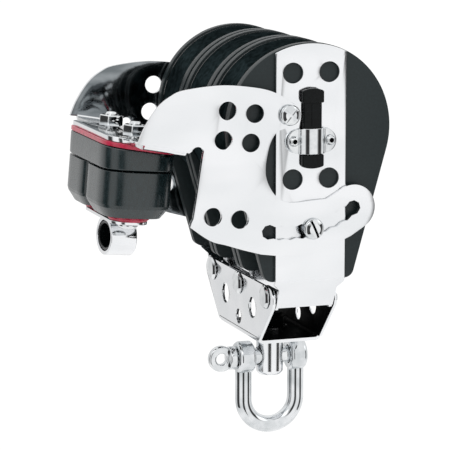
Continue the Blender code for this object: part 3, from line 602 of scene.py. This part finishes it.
# ---- pieces ----
def make_cheeks():
    inner = STRAP_THICK / 2 + GAP
    spans = {"cheek_front": (-STRAP_Y + GAP, -CHEEK_FACE_Y), "cheek_rear": (CHEEK_FACE_Y, STRAP_Y - GAP)}
    for word, side in SIDES:
        y = side * STRAP_MID_Y
        spans[f"cheek_{word}_mid_a"] = (y - inner - CHEEK_THICK, y - inner)
        spans[f"cheek_{word}_mid_b"] = (y + inner, y + inner + CHEEK_THICK)
    for node, (low, high) in spans.items():
        loops = [cheek_outline(), circle(0, 0, AXLE_RADIUS + GAP)]
        if "mid" not in node:
            loops += arm_screw_holes()
        if node == "cheek_front":
            loops.append(tongue_slot())
        bm = soften(slab_mesh(loops, low, high, "XZ"), settings().edge_round, 3,
                    keep=lambda e: min(v.co.xz.length for v in e.verts) > CHEEK_HUB)
        piece("moulded_" + node, bm, "block", cheek_black(), node)


def make_straps():
    round_by = settings().sheet_round
    for word, side in SIDES:
        loops = [strap_outline(STRAP_END)] + lightening_holes() + arm_screw_holes()
        loops.append(circle(0, 0, AXLE_END_RADIUS + GAP))
        if word == "front":
            loops += [tongue_slot()]
            loops += [circle(x, GUIDE_SCREW_Z, 1.5) for x in (-GUIDE_SCREW_X, GUIDE_SCREW_X)]
        bm = soften(slab_mesh(loops, side * STRAP_Y, side * STRAP_OUT_Y, "XZ"), round_by)
        for height in (BEND_Z + 0.8, BEND_Z, BEND_Z - 0.8, STRAP_END + 6):
            geom = list(bm.verts) + list(bm.edges) + list(bm.faces)
            bmesh.ops.bisect_plane(bm, geom=geom, plane_co=(0, 0, height), plane_no=(0, 0, 1), dist=0.001)
        for v in bm.verts:
            v.co.y -= side * max(0.0, BEND_Z - v.co.z) * BEND_SLOPE
        tab = [(48.6, TAB_TOP), (32.5, TAB_TOP), (32.5, -84.0), (45.4, -84.0), (45.9, -82.5)]
        add_tabs(bm, [(side * y, z) for y, z in tab], 0.05, side * HEAD_PIN_Y)
        piece("polished_strap_" + word, bm, "block", polished_stainless(), "strap_" + word)
    for (word, side), inset in zip(SIDES, (0.05, 2.0)):
        y = side * STRAP_MID_Y
        loops = [strap_outline(-84.0)] + lightening_holes() + [circle(0, 0, AXLE_RADIUS + GAP)]
        bm = soften(slab_mesh(loops, y - STRAP_THICK / 2, y + STRAP_THICK / 2, "XZ"), round_by)
        add_tabs(bm, rect(side * 17.2, TAB_TOP, side * -5.5, -83.9), inset, 0.0)
        piece(f"polished_strap_{word}_mid", bm, "block", polished_stainless(), f"strap_{word}_mid")


def add_tabs(bm, outline, inset, pin_y):
    """Add two drilled side tabs at a strap's foot, standing inwards as if folded from it."""
    near = STRAP_NARROW - STRAP_THICK - inset
    loops = [outline, circle(pin_y, HEAD_PIN_Z, HEAD_PIN_HOLE)]
    for side in (-1, 1):
        join(bm, soften(slab_mesh(loops, side * near, side * (near + STRAP_THICK), "YZ"), 0.2, 1))


def make_sheaves():
    """Spin each sheave round, then press its groove to eight flats."""
    half = SHEAVE_HALF
    flange = [(SHEAVE_RADIUS - 0.5, -half), (SHEAVE_RADIUS, -half + 0.5), (SHEAVE_RADIUS, -10.1),
              (SHEAVE_RADIUS - 0.35, -9.7), (36.6, -8.2), (35.0, -6.5), (33.6, -4.6), (33.0, -2.6),
              (33.0, -0.9)]
    for word, y, turn in (("front", -PITCH, 0.10), ("middle", 0.0, 0.42), ("rear", PITCH, 0.0)):
        side = [(15.0, -half)]
        if word == "front":
            side = [(15.0, -7.3), (27.2, -7.3), (27.2, -half)]  # sunk for the ratchet ring
        bm = lathe(side + flange + flipped(flange) + [(15.0, half)], "Y", (0, y, 0), 144)
        for v in bm.verts:
            radius = math.hypot(v.co.x, v.co.z)
            if radius > 30.0 and abs(v.co.y - y) < 9.0:
                depth = min(1.0, max(0.0, (SHEAVE_RADIUS - 0.6 - radius) / 4.4))
                flat = groove_radius(math.atan2(v.co.z, v.co.x) + turn)
                scale = 1 + depth * (flat / radius - 1)
                v.co.x *= scale
                v.co.z *= scale
        piece("grooved_sheave_" + word, bm, word + "_sheave", sheave_black(), "sheave_" + word, edge=19)


def make_switch():
    """The slider: a stem between two heads with arched ends, a rib and the tongue behind."""
    back = SWITCH_BACK
    stem = soften(slab_mesh([rect(-STEM_HALF, -14.0, STEM_HALF, 14.0)], back - 1.9, back, "XZ"), 0.7, 3)
    rib = slab_mesh([rect(-0.5, 1.5, 0.5, 11.8)], back - 2.15, back - 1.5, "XZ")
    tongue = slab_mesh([rect(-1.5, 16.3, 1.5, 18.0)], back - 1.0, -CHEEK_FACE_Y - 0.6, "XZ")
    heads = []
    half = SLIDER_HALF - 0.5
    for near, far, arch in ((12.2, 17.6, 1.2), (-11.2, -16.6, -1.0)):
        crown = [(half * (1 - k / 6), far + arch * (1 - (1 - k / 6) ** 2)) for k in range(13)]
        outline = crown + [(-half, near), (half, near)]
        heads.append(soften(slab_mesh([outline], back - 2.8, back - 0.1, "XZ"), 0.6, 4))
    piece("switch_slider", join(stem, rib, *heads, tongue), "switch", switch_black(), "ratchet_slider")


def make_guide():
    """The bright saddle that the switch slides in, with two screwed ears."""
    back = SWITCH_BACK
    flange = back - GUIDE_SHEET
    shell = [(x, back + (y - back) * 0.62) for x, y in arc(0, back, 6.2, 196, 344, 10)]
    inner = [(5.0, back), (4.8, back - 2.05), (3.4, back - 2.75), (-3.4, back - 2.75), (-4.8, back - 2.05),
             (-5.0, back)]
    outline = [(-6.3, back), (-6.3, flange)] + shell + [(6.3, flange), (6.3, back)] + inner
    bm = soften(slab_mesh([outline], -11.0, 0.6, "XY"), 0.15, 1)
    for side in (-1, 1):
        loops = [arc(side * 6.2, -5.2, 5.6, 90, 90 - side * 180, 8),
                 circle(side * GUIDE_SCREW_X, GUIDE_SCREW_Z, 1.5)]
        join(bm, soften(slab_mesh(loops, flange, back, "XZ"), 0.3))
    piece("bright_guide", bm, "block", buffed_steel(), "switch_guide")


def turned(name, node, profile, axis, centre):
    """A turned screw or pin of the block, with rounded edges."""
    return piece(name, lathe(rounded_profile(profile), axis, centre), "block", buffed_steel(), node)


def drive_slot(screw, tip, centre, angle):
    """Saw a slot across the head of a screw that lies along Y and ends at tip."""
    outward = math.copysign(1.0, tip)
    saw = rect(-9.0, -DRIVE_WIDTH / 2, 9.0, DRIVE_WIDTH / 2)
    bar = clean(slab_mesh([saw], tip + outward, tip - outward * DRIVE_DEEP, "XZ"))
    bar.transform(Matrix.Translation(centre) @ Matrix.Rotation(angle, 4, "Y"))
    cut(screw, bar)


def blacken_slot(screw, tip, centre, angle):
    """Darken a slot's floor and sides, which lie in shadow."""
    back = Matrix.Rotation(-angle, 4, "Y")
    floor = abs(tip) - DRIVE_DEEP

    def in_slot(at, out):
        near = back @ (at - Vector(centre))
        return abs(near.z) < DRIVE_WIDTH / 2 + 0.02 and floor - 0.05 < abs(near.y) < abs(tip) - 0.12

    second_look(screw, painted_shade_finish(), in_slot)


def make_arm_screws():
    face = ARM_OUT_Y + GAP
    tip = face + 2.6
    end = CHEEK_FACE_Y + 0.7
    for word, side in SIDES:
        for kind, (x, z), shank, angle in (("pivot_bolt", PIVOT, 3.0, 0.7),
                                           ("lock_screw", LOCK_SPOT, 2.45, 1.15)):
            profile = [(0, tip), (2.6, face + 2.5), (4.3, face + 1.8), (4.8, face + 0.9), (4.8, face),
                       (shank, face), (shank, end), (0, end)]
            if side < 0:
                profile = flipped(profile)
            screw = turned(f"bright_{kind}_{word}", f"arm_{kind}_{word}", profile, "Y", (x, 0, z))
            drive_slot(screw, side * tip, (x, 0, z), angle)
            if kind == "pivot_bolt":
                drive_slot(screw, side * tip, (x, 0, z), angle + math.pi / 2)
            else:
                blacken_slot(screw, side * tip, (x, 0, z), angle)


def make_fasteners():
    """The arm's screws, the guide's button screws and the head's domed pins."""
    make_arm_screws()
    seat = SWITCH_BACK - GUIDE_SHEET - GAP
    end = -STRAP_Y - 0.2
    for word, x in (("left", -GUIDE_SCREW_X), ("right", GUIDE_SCREW_X)):
        profile = [(0, seat - 0.6), (1.0, seat - 0.6), (1.1, seat - 1.65), (1.6, seat - 1.5),
                   (2.4, seat - 0.5), (2.4, seat), (1.2, seat), (1.2, end), (0, end)]
        button = turned("button_screw_" + word, "guide_screw_" + word, profile, "Y", (x, 0, GUIDE_SCREW_Z))
        # The socket recess in each button head is painted near-black: painted shade.
        second_look(button, painted_shade_finish(), lambda at, out, x=x: seat - 1.5 < at.y < seat
                    and math.hypot(at.x - x, at.z - GUIDE_SCREW_Z) < 1.06)
    out = HEAD_INNER + HEAD_THICK + GAP
    rivet = [(0, -out - 1.9), (2.4, -out - 1.75), (4.4, -out - 1.2), (5.6, -out - 0.3), (5.6, -out),
             (2.5, -out)]
    for word, y in (("front", -HEAD_PIN_Y), ("middle", 0.0), ("rear", HEAD_PIN_Y)):
        turned("domed_pin_" + word, "head_pin_" + word, rivet + flipped(rivet), "X", (0, y, HEAD_PIN_Z))


def make_arm():
    """The folded bracket: two claw plates and the plate that joins them."""
    places = ((-40.5, 10.2), (-27.7, 8.5), (-42.5, -2.9), (-29.6, -4.6), (-47.5, -37.2), (-34.7, -39.0))
    loops = [arm_outline(), arm_slot(), circle(*PIVOT, PIVOT_HOLE)] + [circle(*p, 4.2) for p in places]
    plates = [soften(slab_mesh(loops, side * ARM_Y, side * ARM_OUT_Y, "XZ"), settings().sheet_round)
              for side in (-1, 1)]
    low = PLATE_TOP - ARM_THICK
    section = channel(ARM_OUT_Y - 0.05, low, 1.0, 3.6, ARM_THICK - 0.1, 5, 4)
    fold = tilt_mesh(clean(slab_mesh([section], -79.0, -59.5, "YZ")), 1.0)
    lip = arc(-81.0, 26.0, 7.5, 90, 180, 4) + arc(-81.0, -26.0, 7.5, 180, 270, 4)
    plan = [(-79.3, 33.5)] + lip[1:-1] + [(-79.3, -33.5), (-79.3, -51.8), (-59.8, -51.8), (-59.8, 51.8),
                                          (-79.3, 51.8)]
    deck = soften(slab_mesh([plan] + cleat_holes(3.4), low - 0.03, PLATE_TOP + 0.03, "XY"), 0.3)
    bracket = piece("claw_bracket", join(*plates, fold, tilt_mesh(deck, 1.0)), "cleat_arm",
                    polished_stainless(), "cam_arm")
    # The plates' inner faces take the darker steel: painted shade.
    second_look(bracket, painted_shade_stainless(),
                lambda at, out: abs(at.y) > ARM_Y - 0.1 and out.y * at.y < -0.7 * ARM_Y)


def make_cleat_base():
    loops = [base_outline(BASE_HALF_X - 0.05, BASE_HALF_Y - 0.05)] + cleat_holes(3.3)
    bm = soften(slab_mesh(loops, GASKET_TOP - 2.0, GASKET_TOP, "XY"), 0.25)
    piece("red_gasket", tilt_mesh(bm, 1.0), "cleat_arm", red_acetal(), "cleat_gasket")
    bm = soften(slab_mesh(loops, BASE_LOW, BASE_TOP, "XY"), 0.7, 3)
    bm = tilt_mesh(bm, lambda z: (z - BASE_LOW) / (BASE_TOP - BASE_LOW))
    base = piece("moulded_cleat_base", bm, "cleat_arm", cleat_charcoal(), "cleat_base")
    notch = rect(CLEAT_X + 8.6, BASE_TOP - 1.5, CLEAT_X + 12.2, BASE_TOP + 1.2)
    cut(base, tilt_mesh(clean(slab_mesh([notch], -BASE_HALF_Y - 3, -BASE_HALF_Y + 5.5, "XZ")), 0.6))


def make_cams():
    """Two toothed cams, each a block cut by a spiral jaw, with a chamfered foot."""
    for word, side in SIDES:
        centre = Vector((CLEAT_X, side * CAM_Y, 0))
        bm = bmesh.new()
        outline = []
        for i in range(300):
            a = 2 * math.pi * i / 300
            r = cam_radius(a)
            spot = centre + Vector((r * math.cos(a), -side * r * math.sin(a), CAM_TOP))
            outline.append(bm.verts.new(spot))
        face = bm.faces.new(outline)
        for drop, scale in ((CAM_EDGE + 1.6 - CAM_TOP, 1.0), (-1.5, 0.975), (CAM_LOW - CAM_EDGE + 0.7, 0.845),
                            (-0.8, 0.96)):
            grown = bmesh.ops.extrude_face_region(bm, geom=[face])["geom"]
            moved = picked(grown, BMVert)
            bmesh.ops.translate(bm, verts=moved, vec=(0, 0, drop))
            bmesh.ops.scale(bm, verts=moved, vec=(scale, scale, 1), space=Matrix.Translation(-centre))
            face = picked(grown, BMFace)[0]
        soften(bm, 0.4, 3, keep=lambda e: min(v.co.z for v in e.verts) > CAM_TOP - 0.1)
        cam = piece("toothed_cam_" + word, tilt_mesh(bm), word + "_cam", cleat_charcoal(), "cam_" + word)
        bore = [(0, CAM_LOW - 2), (3.5, CAM_LOW - 2), (3.5, CAM_TOP - 5.0), (7.2, CAM_TOP - 5.0),
                (7.2, CAM_TOP + 2), (0, CAM_TOP + 2)]
        cut(cam, tilt_mesh(lathe(bore, "Z", centre, 40)))


def make_cleat_bolts():
    low = LEAD_TOP - LEAD_THICK - GAP
    top = PLATE_TOP + 7.6
    disc = [(3.3, WASHER_LOW), (9.0, WASHER_LOW), (9.0, WASHER_LOW + 0.6), (9.6, WASHER_LOW + 0.7),
            (9.6, WASHER_LOW + 2.0), (3.3, WASHER_LOW + 2.0)]
    bolt = [(0, low - 2.4), (2.2, low - 2.3), (4.0, low - 1.6), (4.7, low - 0.6), (4.7, low), (2.9, low),
            (2.9, top - 1.2), (2.3, top - 0.3), (1.2, top), (0, top)]
    for word, side in SIDES:
        at = (CLEAT_X, side * CAM_Y, 0)
        nut = hex_nut(CLEAT_X, side * CAM_Y, 5.8, 3.2, PLATE_TOP + 0.9, PLATE_TOP + 6.0)
        for name, node, bm, look in (
                ("red_washer_", "cam_washer_", lathe(rounded_profile(disc, 0.4), "Z", at), red_acetal),
                ("domed_cleat_bolt_", "cleat_bolt_", lathe(rounded_profile(bolt), "Z", at), buffed_steel),
                ("hex_nut_", "cleat_nut_", nut, buffed_steel)):
            piece(name + word, tilt_mesh(bm), "cleat_arm", look(), node + word)


def make_fairlead():
    """An oval ring on a short neck under a plate, and the dark lining in it."""
    plan = [(x + CLEAT_X, y) for x, y in rounded_rect(9.0, 25.5, 7.0)]
    plate = soften(slab_mesh([plan] + cleat_holes(3.3), LEAD_TOP - LEAD_THICK, LEAD_TOP, "XY"), 0.3)

    def oval(wide, tall):
        return [(wide * c, PLATE_TOP - 48.3 + tall * s) for c, s in circle(0, 0, 1.0, 24)]

    ring = slab_mesh([oval(12.6, 8.9), oval(10.8, 7.1)], CLEAT_X - 5.2, CLEAT_X + 7.2, "YZ")
    sides = [(-6.0, LEAD_TOP - 0.4), (6.0, LEAD_TOP - 0.4), (7.5, LEAD_TOP - 2.6), (-7.5, LEAD_TOP - 2.6)]
    neck = soften(slab_mesh([sides], CLEAT_X - 5.0, CLEAT_X + 7.0, "YZ"), 0.3)
    bm = join(plate, soften(ring, 0.35, 3), neck)
    piece("fairlead_eye", tilt_mesh(bm), "cleat_arm", polished_stainless(), "fairlead")
    lining = slab_mesh([oval(10.5, 6.8), oval(9.2, 5.5)], CLEAT_X - 4.7, CLEAT_X + 6.7, "YZ")
    piece("fairlead_lining", tilt_mesh(soften(lining, 0.5, 3)), "cleat_arm", switch_black(), "fairlead_bush")


def make_head():
    """Two tapering walls and the folded floor between them."""
    out = HEAD_INNER + HEAD_THICK
    half = [(28.4, -101.6), (46.6, -83.0)] + arc(42.0, -79.6, 5.6, -30, 90, 6)
    loops = [half + [(-y, z) for y, z in reversed(half)]]
    loops += [circle(y, HEAD_PIN_Z, HEAD_PIN_HOLE) for y in (-HEAD_PIN_Y, 0, HEAD_PIN_Y)]
    loops += [circle(-19.0, -87.6, 4.9), circle(19.0, -87.6, 4.9), circle(0.0, -95.4, 3.5)]
    walls = [soften(slab_mesh(loops, side * HEAD_INNER, side * out, "YZ"), settings().sheet_round)
             for side in (-1, 1)]
    section = channel(out, HEAD_FLOOR - HEAD_THICK, -100.2, 3.0, HEAD_THICK, 3, 3)
    floor = clean(slab_mesh([section], -27.2, 27.2, "XZ"))
    head = piece("folded_head", join(*walls, floor), "block", polished_stainless(), "head_bracket")

    # The inner faces of the walls and the top of the floor are painted near-black: painted shade of the
    # head's hollow.
    def inside(at, out):
        wall = abs(at.x) < HEAD_INNER + 0.2 and out.x * at.x < -0.5 * abs(at.x)
        return wall or (HEAD_FLOOR - 0.4 < at.z < -98.0 and out.z > 0.5 and abs(at.x) < HEAD_INNER)

    second_look(head, painted_shade_finish(), inside)
    cut(head, lathe([(0, -110), (6.8, -110), (6.8, -98), (0, -98)], "Z", steps=48))


def make_swivel():
    top = HEAD_FLOOR - HEAD_THICK - 0.4
    bore = PIN_RADIUS + GAP
    profile = [(0, -124.3), (5.3, -124.3), (POST_RADIUS, -122.6), (POST_RADIUS, top), (5.0, top),
               (5.0, -95.6), (4.4, -95.0), (0, -95.0)]
    post = piece("turned_post", lathe(rounded_profile(profile, 0.5), "Z"), "swivel", polished_stainless(),
                 "swivel_post")
    cut(post, lathe([(0, -10), (bore, -10), (bore, 10), (0, 10)], "X", (0, 0, PIN_Z), 48))
    cap = lathe([(5.2, -96.4), (6.4, -96.4), (6.2, -94.9), (5.4, -94.2), (0, -94.2), (0, -94.7),
                 (5.2, -94.7)], "Z")
    bm = join(hex_nut(0, 0, 8.2, 5.3, HEAD_FLOOR + 1.6, HEAD_FLOOR + 5.8), cap)
    # The swivel nut is painted near-black: painted shade under the head.
    piece("capped_swivel_nut", bm, "swivel", painted_shade_finish(), "swivel_nut")


def draw_out(bm, edges, rise):
    """Draw a ring of edges out along Z, and give the new ring's vertices and edges."""
    grown = bmesh.ops.extrude_edge_only(bm, edges=edges)["geom"]
    moved = picked(grown, BMVert)
    bmesh.ops.translate(bm, verts=moved, vec=(0, 0, rise))
    return moved + picked(grown, BMEdge)


def make_shackle():
    """A round bar bent to a bow, with bored discs forged at its ends, and a pin with a flat eye."""
    bm = bmesh.new()
    top = PIN_Z - 5.2
    place = Matrix.Translation((BOW_RADIUS, 0, top))
    ring = bmesh.ops.create_circle(bm, segments=32, radius=BOW_BODY, matrix=place)["verts"]
    leg = draw_out(bm, list({e for v in ring for e in v.link_edges}), BOW_CENTRE_Z - top)
    spun = bmesh.ops.spin(bm, geom=leg, cent=(0, 0, BOW_CENTRE_Z), axis=(0, 1, 0), angle=math.pi,
                          steps=40, use_merge=False)["geom_last"]
    draw_out(bm, picked(spun, BMEdge), top - BOW_CENTRE_Z)
    clean(bm)
    bmesh.ops.holes_fill(bm, edges=[e for e in bm.edges if e.is_boundary], sides=64)
    bore = PIN_RADIUS + GAP
    ear = [(bore, 8.9), (6.6, 8.9), (7.7, 9.9), (7.7, 15.9), (6.6, 17.2), (bore, 17.2)]
    for profile in (flipped(ear), ear):
        join(bm, lathe(rounded_profile(profile, 1.2, 5), "X", (0, 0, PIN_Z)))
    piece("forged_bow", bm, "shackle", forged_steel(), "shackle_bow")
    shaft = [(0, -21.0), (5.6, -21.0), (5.6, -17.7), (PIN_RADIUS, -17.7), (PIN_RADIUS, 16.6),
             (PIN_RADIUS - 0.6, 17.4), (0, 17.4)]
    loops = [circle(-24.6, PIN_Z, 6.2), circle(-24.6, PIN_Z, 2.65)]
    eye = soften(slab_mesh(loops, -1.9, 1.9, "XZ"), 0.9, 4)
    pin = join(lathe(rounded_profile(shaft, 0.6), "X", (0, 0, PIN_Z)), eye)
    piece("eyed_screw_pin", pin, "screw_pin", buffed_steel(), "shackle_pin")


def finish_solids():
    """Give the solids that stay in view, or inside, their materials."""
    looks = {"ball_cage": natural_acetal, "hub": polished_stainless, "ratchet_ring": forged_steel,
             "pawl": forged_steel, "axle": polished_stainless, "cam_spring": buffed_steel,
             "swivel_washer": polished_stainless}
    for name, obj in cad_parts.items():
        for start, look in looks.items():
            if name.startswith(start):
                obj.data.materials.clear()
                obj.data.materials.append(look())


# ---- stage ----
# The studio's light panels, as (bearing in degrees, brightness).
PANELS = ((-180, 0.78), (-125, 0.8), (-112, 0.05), (-84, 0.04), (-70, 1.0), (-36, 1.0), (-27, 0.06),
          (-9, 0.04), (-2, 1.0), (36, 1.0), (46, 0.05), (64, 0.03), (76, 1.0), (120, 0.9), (180, 0.78))
WHITE = (1.0, 1.0, 1.0, 1.0)
FLOOR_HALF = 700.0  # millimetres, as is the drop from the shackle to the floor
FLOOR_DROP = 400.0
AIM = Vector((-0.02, 0, -0.05))  # of the lamps, in metres


def studio_world(strength):
    """White surroundings with dark panels between them, so that polished metal shows its form."""
    world = bpy.data.worlds.new("studio")
    world.use_nodes = True
    background = world.node_tree.nodes["Background"]
    place = add_node(world, "ShaderNodeTexCoord")
    axes = add_node(world, "ShaderNodeSeparateXYZ", links={"Vector": (place, "Generated")})
    ahead = add_node(world, "ShaderNodeMath", {1: -1.0}, {0: (axes, "Y")}, operation="MULTIPLY")
    bearing = add_node(world, "ShaderNodeMath", links={0: (axes, "X"), 1: (ahead, "Value")},
                       operation="ARCTAN2")
    turn = add_node(world, "ShaderNodeMapRange", {"From Min": -math.pi, "From Max": math.pi},
                    {"Value": (bearing, "Value")})
    panels = add_node(world, "ShaderNodeValToRGB", links={"Fac": (turn, "Result")})
    ramp = panels.color_ramp
    while len(ramp.elements) > 1:
        ramp.elements.remove(ramp.elements[-1])
    for angle, light in PANELS:
        stop = ramp.elements.new((angle + 180) / 360)
        stop.color = (light, light, light, 1)
    ramp.elements.remove(ramp.elements[0])
    ceiling = add_node(world, "ShaderNodeMapRange", {"From Min": 0.22, "From Max": 0.5},
                       {"Value": (axes, "Z")})
    overhead = add_node(world, "ShaderNodeMix", {7: WHITE}, {0: (ceiling, "Result"), 6: (panels, "Color")},
                        data_type="RGBA")
    seen = add_node(world, "ShaderNodeLightPath")
    shown = add_node(world, "ShaderNodeMix", {7: WHITE}, {0: (seen, "Is Camera Ray"), 6: (overhead, 2)},
                     data_type="RGBA")
    world.node_tree.links.new(shown.outputs[2], background.inputs["Color"])
    background.inputs["Strength"].default_value = strength
    return world


def make_floor():
    """A small white sheet, lit from behind, well below the shackle."""
    bm = bmesh.new()
    bmesh.ops.create_grid(bm, x_segments=1, y_segments=1, size=FLOOR_HALF)
    bmesh.ops.translate(bm, verts=bm.verts, vec=(0, 0, CAD_BOX[0][2] / MM - FLOOR_DROP))
    floor = to_object("pale_floor", bm)
    paper = finish("backlit_white_sheet", srgb("#f8f8f8"), srgb("#fcfcfc"), rough=0.9, spread=0.03,
                   pattern_mm=400.0, specular=0.1)
    shader = paper.node_tree.nodes["Principled BSDF"]
    shader.inputs["Emission Color"].default_value = WHITE
    seen = add_node(paper, "ShaderNodeLightPath")
    glow = add_node(paper, "ShaderNodeMath", {1: 0.45}, {0: (seen, "Is Camera Ray")}, operation="MULTIPLY")
    paper.node_tree.links.new(glow.outputs[0], shader.inputs["Emission Strength"])
    floor.data.materials.append(paper)


def make_lamps(power):
    for name, place, size, share in (("key", (-0.7, -0.9, 0.9), 0.7, 1.0),
                                     ("fill", (0.9, -0.5, 0.5), 0.6, 0.5),
                                     ("top", (-0.1, 0.3, 1.2), 0.8, 0.7)):
        light = bpy.data.lights.new(name, "AREA")
        light.shape = "SQUARE"
        light.size = size
        light.energy = power * share
        lamp = bpy.data.objects.new(name, light)
        lamp.location = place
        lamp.rotation_euler = (AIM - Vector(place)).to_track_quat("-Z", "Y").to_euler()
        bpy.context.scene.collection.objects.link(lamp)


def make_camera():
    """A long lens, to the left of the axle and a little above it."""
    lens = bpy.data.cameras.new("camera")
    lens.lens = 200.1
    lens.sensor_width = 36.0
    lens.clip_end = 20.0
    camera = bpy.data.objects.new("camera", lens)
    camera.location = (-0.4022, -1.0972, 0.1476)
    camera.rotation_euler = Vector((0.32235, 0.93146, -0.16875)).to_track_quat("-Z", "Y").to_euler()
    bpy.context.scene.collection.objects.link(camera)
    bpy.context.scene.camera = camera


def make_stage():
    bpy.context.scene.view_settings.view_transform = "Standard"
    bpy.context.scene.world = studio_world(settings().sky_strength)
    make_floor()
    make_lamps(settings().key_power)
    make_camera()


# ---- add-on ----
def tone(name, part, code):
    """A colour that a user may change."""
    return bpy.props.FloatVectorProperty(name=name, description="Lighter tone of the " + part,
                                         subtype="COLOR", default=srgb(code), min=0, max=1)


class BlockSettings(bpy.types.PropertyGroup):
    edge_round: bpy.props.FloatProperty(
        name="Cheek rounding", description="Rounding of a cheek's rim in mm", default=0.9, min=0.1, max=1.5)
    sheet_round: bpy.props.FloatProperty(
        name="Sheet rounding", description="Rounding of the sheet metal in mm", default=0.28, min=0.05,
        max=0.6)
    steel_colour: tone("Steel", "polished steel", "#edeef0")
    cheek_colour: tone("Cheeks", "cheeks", "#1d282a")
    sheave_colour: tone("Sheaves", "sheaves", "#1b2325")
    cleat_colour: tone("Cleat", "cams and base", "#1d2b2e")
    red_colour: tone("Red", "red layers", "#cc3152")
    sky_strength: bpy.props.FloatProperty(
        name="Studio light", description="Strength of the white surroundings", default=1.06, min=0.0, max=3.0)
    key_power: bpy.props.FloatProperty(
        name="Key light", description="Power of the main light in watts", default=1.5, min=0.0, max=100.0,
        unit="POWER")


class MakeCheeks(bpy.types.Operator):
    """Make the moulded cheeks."""
    bl_idname = "block.cheeks"
    bl_label = "Cheeks"

    def execute(self, context):
        make_cheeks()
        return {"FINISHED"}


class MakeStraps(bpy.types.Operator):
    """Make the polished straps."""
    bl_idname = "block.straps"
    bl_label = "Straps"

    def execute(self, context):
        make_straps()
        return {"FINISHED"}


class MakeSheaves(bpy.types.Operator):
    """Make the grooved sheaves."""
    bl_idname = "block.sheaves"
    bl_label = "Sheaves"

    def execute(self, context):
        make_sheaves()
        return {"FINISHED"}


class MakeSwitch(bpy.types.Operator):
    """Make the ratchet switch and its guide."""
    bl_idname = "block.switch"
    bl_label = "Ratchet switch"

    def execute(self, context):
        make_switch()
        make_guide()
        return {"FINISHED"}


class MakeFasteners(bpy.types.Operator):
    """Make the screws and pins of the block."""
    bl_idname = "block.fasteners"
    bl_label = "Screws and pins"

    def execute(self, context):
        make_fasteners()
        return {"FINISHED"}


class MakeArm(bpy.types.Operator):
    """Make the cleat arm's folded bracket."""
    bl_idname = "block.arm"
    bl_label = "Cleat arm"

    def execute(self, context):
        make_arm()
        return {"FINISHED"}


class MakeCleat(bpy.types.Operator):
    """Make the cam cleat: gasket, base, cams and bolts."""
    bl_idname = "block.cleat"
    bl_label = "Cam cleat"

    def execute(self, context):
        make_cleat_base()
        make_cams()
        make_cleat_bolts()
        return {"FINISHED"}


class MakeFairlead(bpy.types.Operator):
    """Make the fairlead eye and its lining."""
    bl_idname = "block.fairlead"
    bl_label = "Fairlead"

    def execute(self, context):
        make_fairlead()
        return {"FINISHED"}


class MakeHead(bpy.types.Operator):
    """Make the folded head."""
    bl_idname = "block.head"
    bl_label = "Head"

    def execute(self, context):
        make_head()
        return {"FINISHED"}


class MakeShackle(bpy.types.Operator):
    """Make the swivel post, the shackle bow and its pin."""
    bl_idname = "block.shackle"
    bl_label = "Swivel and shackle"

    def execute(self, context):
        make_swivel()
        make_shackle()
        return {"FINISHED"}


class FinishSolids(bpy.types.Operator):
    """Give the remaining solids their materials."""
    bl_idname = "block.solids"
    bl_label = "Inner pieces"

    def execute(self, context):
        finish_solids()
        return {"FINISHED"}


class MakeStage(bpy.types.Operator):
    """Make the floor, lights and camera."""
    bl_idname = "block.stage"
    bl_label = "Stage"

    def execute(self, context):
        make_stage()
        return {"FINISHED"}


OPERATORS = (MakeCheeks, MakeStraps, MakeSheaves, MakeSwitch, MakeFasteners, MakeArm, MakeCleat,
             MakeFairlead, MakeHead, MakeShackle, FinishSolids, MakeStage)


class BlockPanel(bpy.types.Panel):
    """The block's makers and settings in the sidebar."""
    bl_idname = "VIEW3D_PT_ratchet_block"
    bl_label = "Ratchet block"
    bl_space_type = "VIEW_3D"
    bl_region_type = "UI"
    bl_category = "Block"

    def draw(self, context):
        for field in BlockSettings.__annotations__:
            self.layout.prop(context.scene.block_settings, field)
        for maker in OPERATORS:
            self.layout.operator(maker.bl_idname)


def register():
    for kind in (BlockSettings,) + OPERATORS + (BlockPanel,):
        bpy.utils.register_class(kind)
    bpy.types.Scene.block_settings = bpy.props.PointerProperty(type=BlockSettings)


def unregister():
    del bpy.types.Scene.block_settings
    for kind in reversed((BlockSettings,) + OPERATORS + (BlockPanel,)):
        bpy.utils.unregister_class(kind)


def main():
    register()
    for maker in OPERATORS:
        group, call = maker.bl_idname.split(".")
        getattr(getattr(bpy.ops, group), call)()


if __name__ == "__main__":
    main()
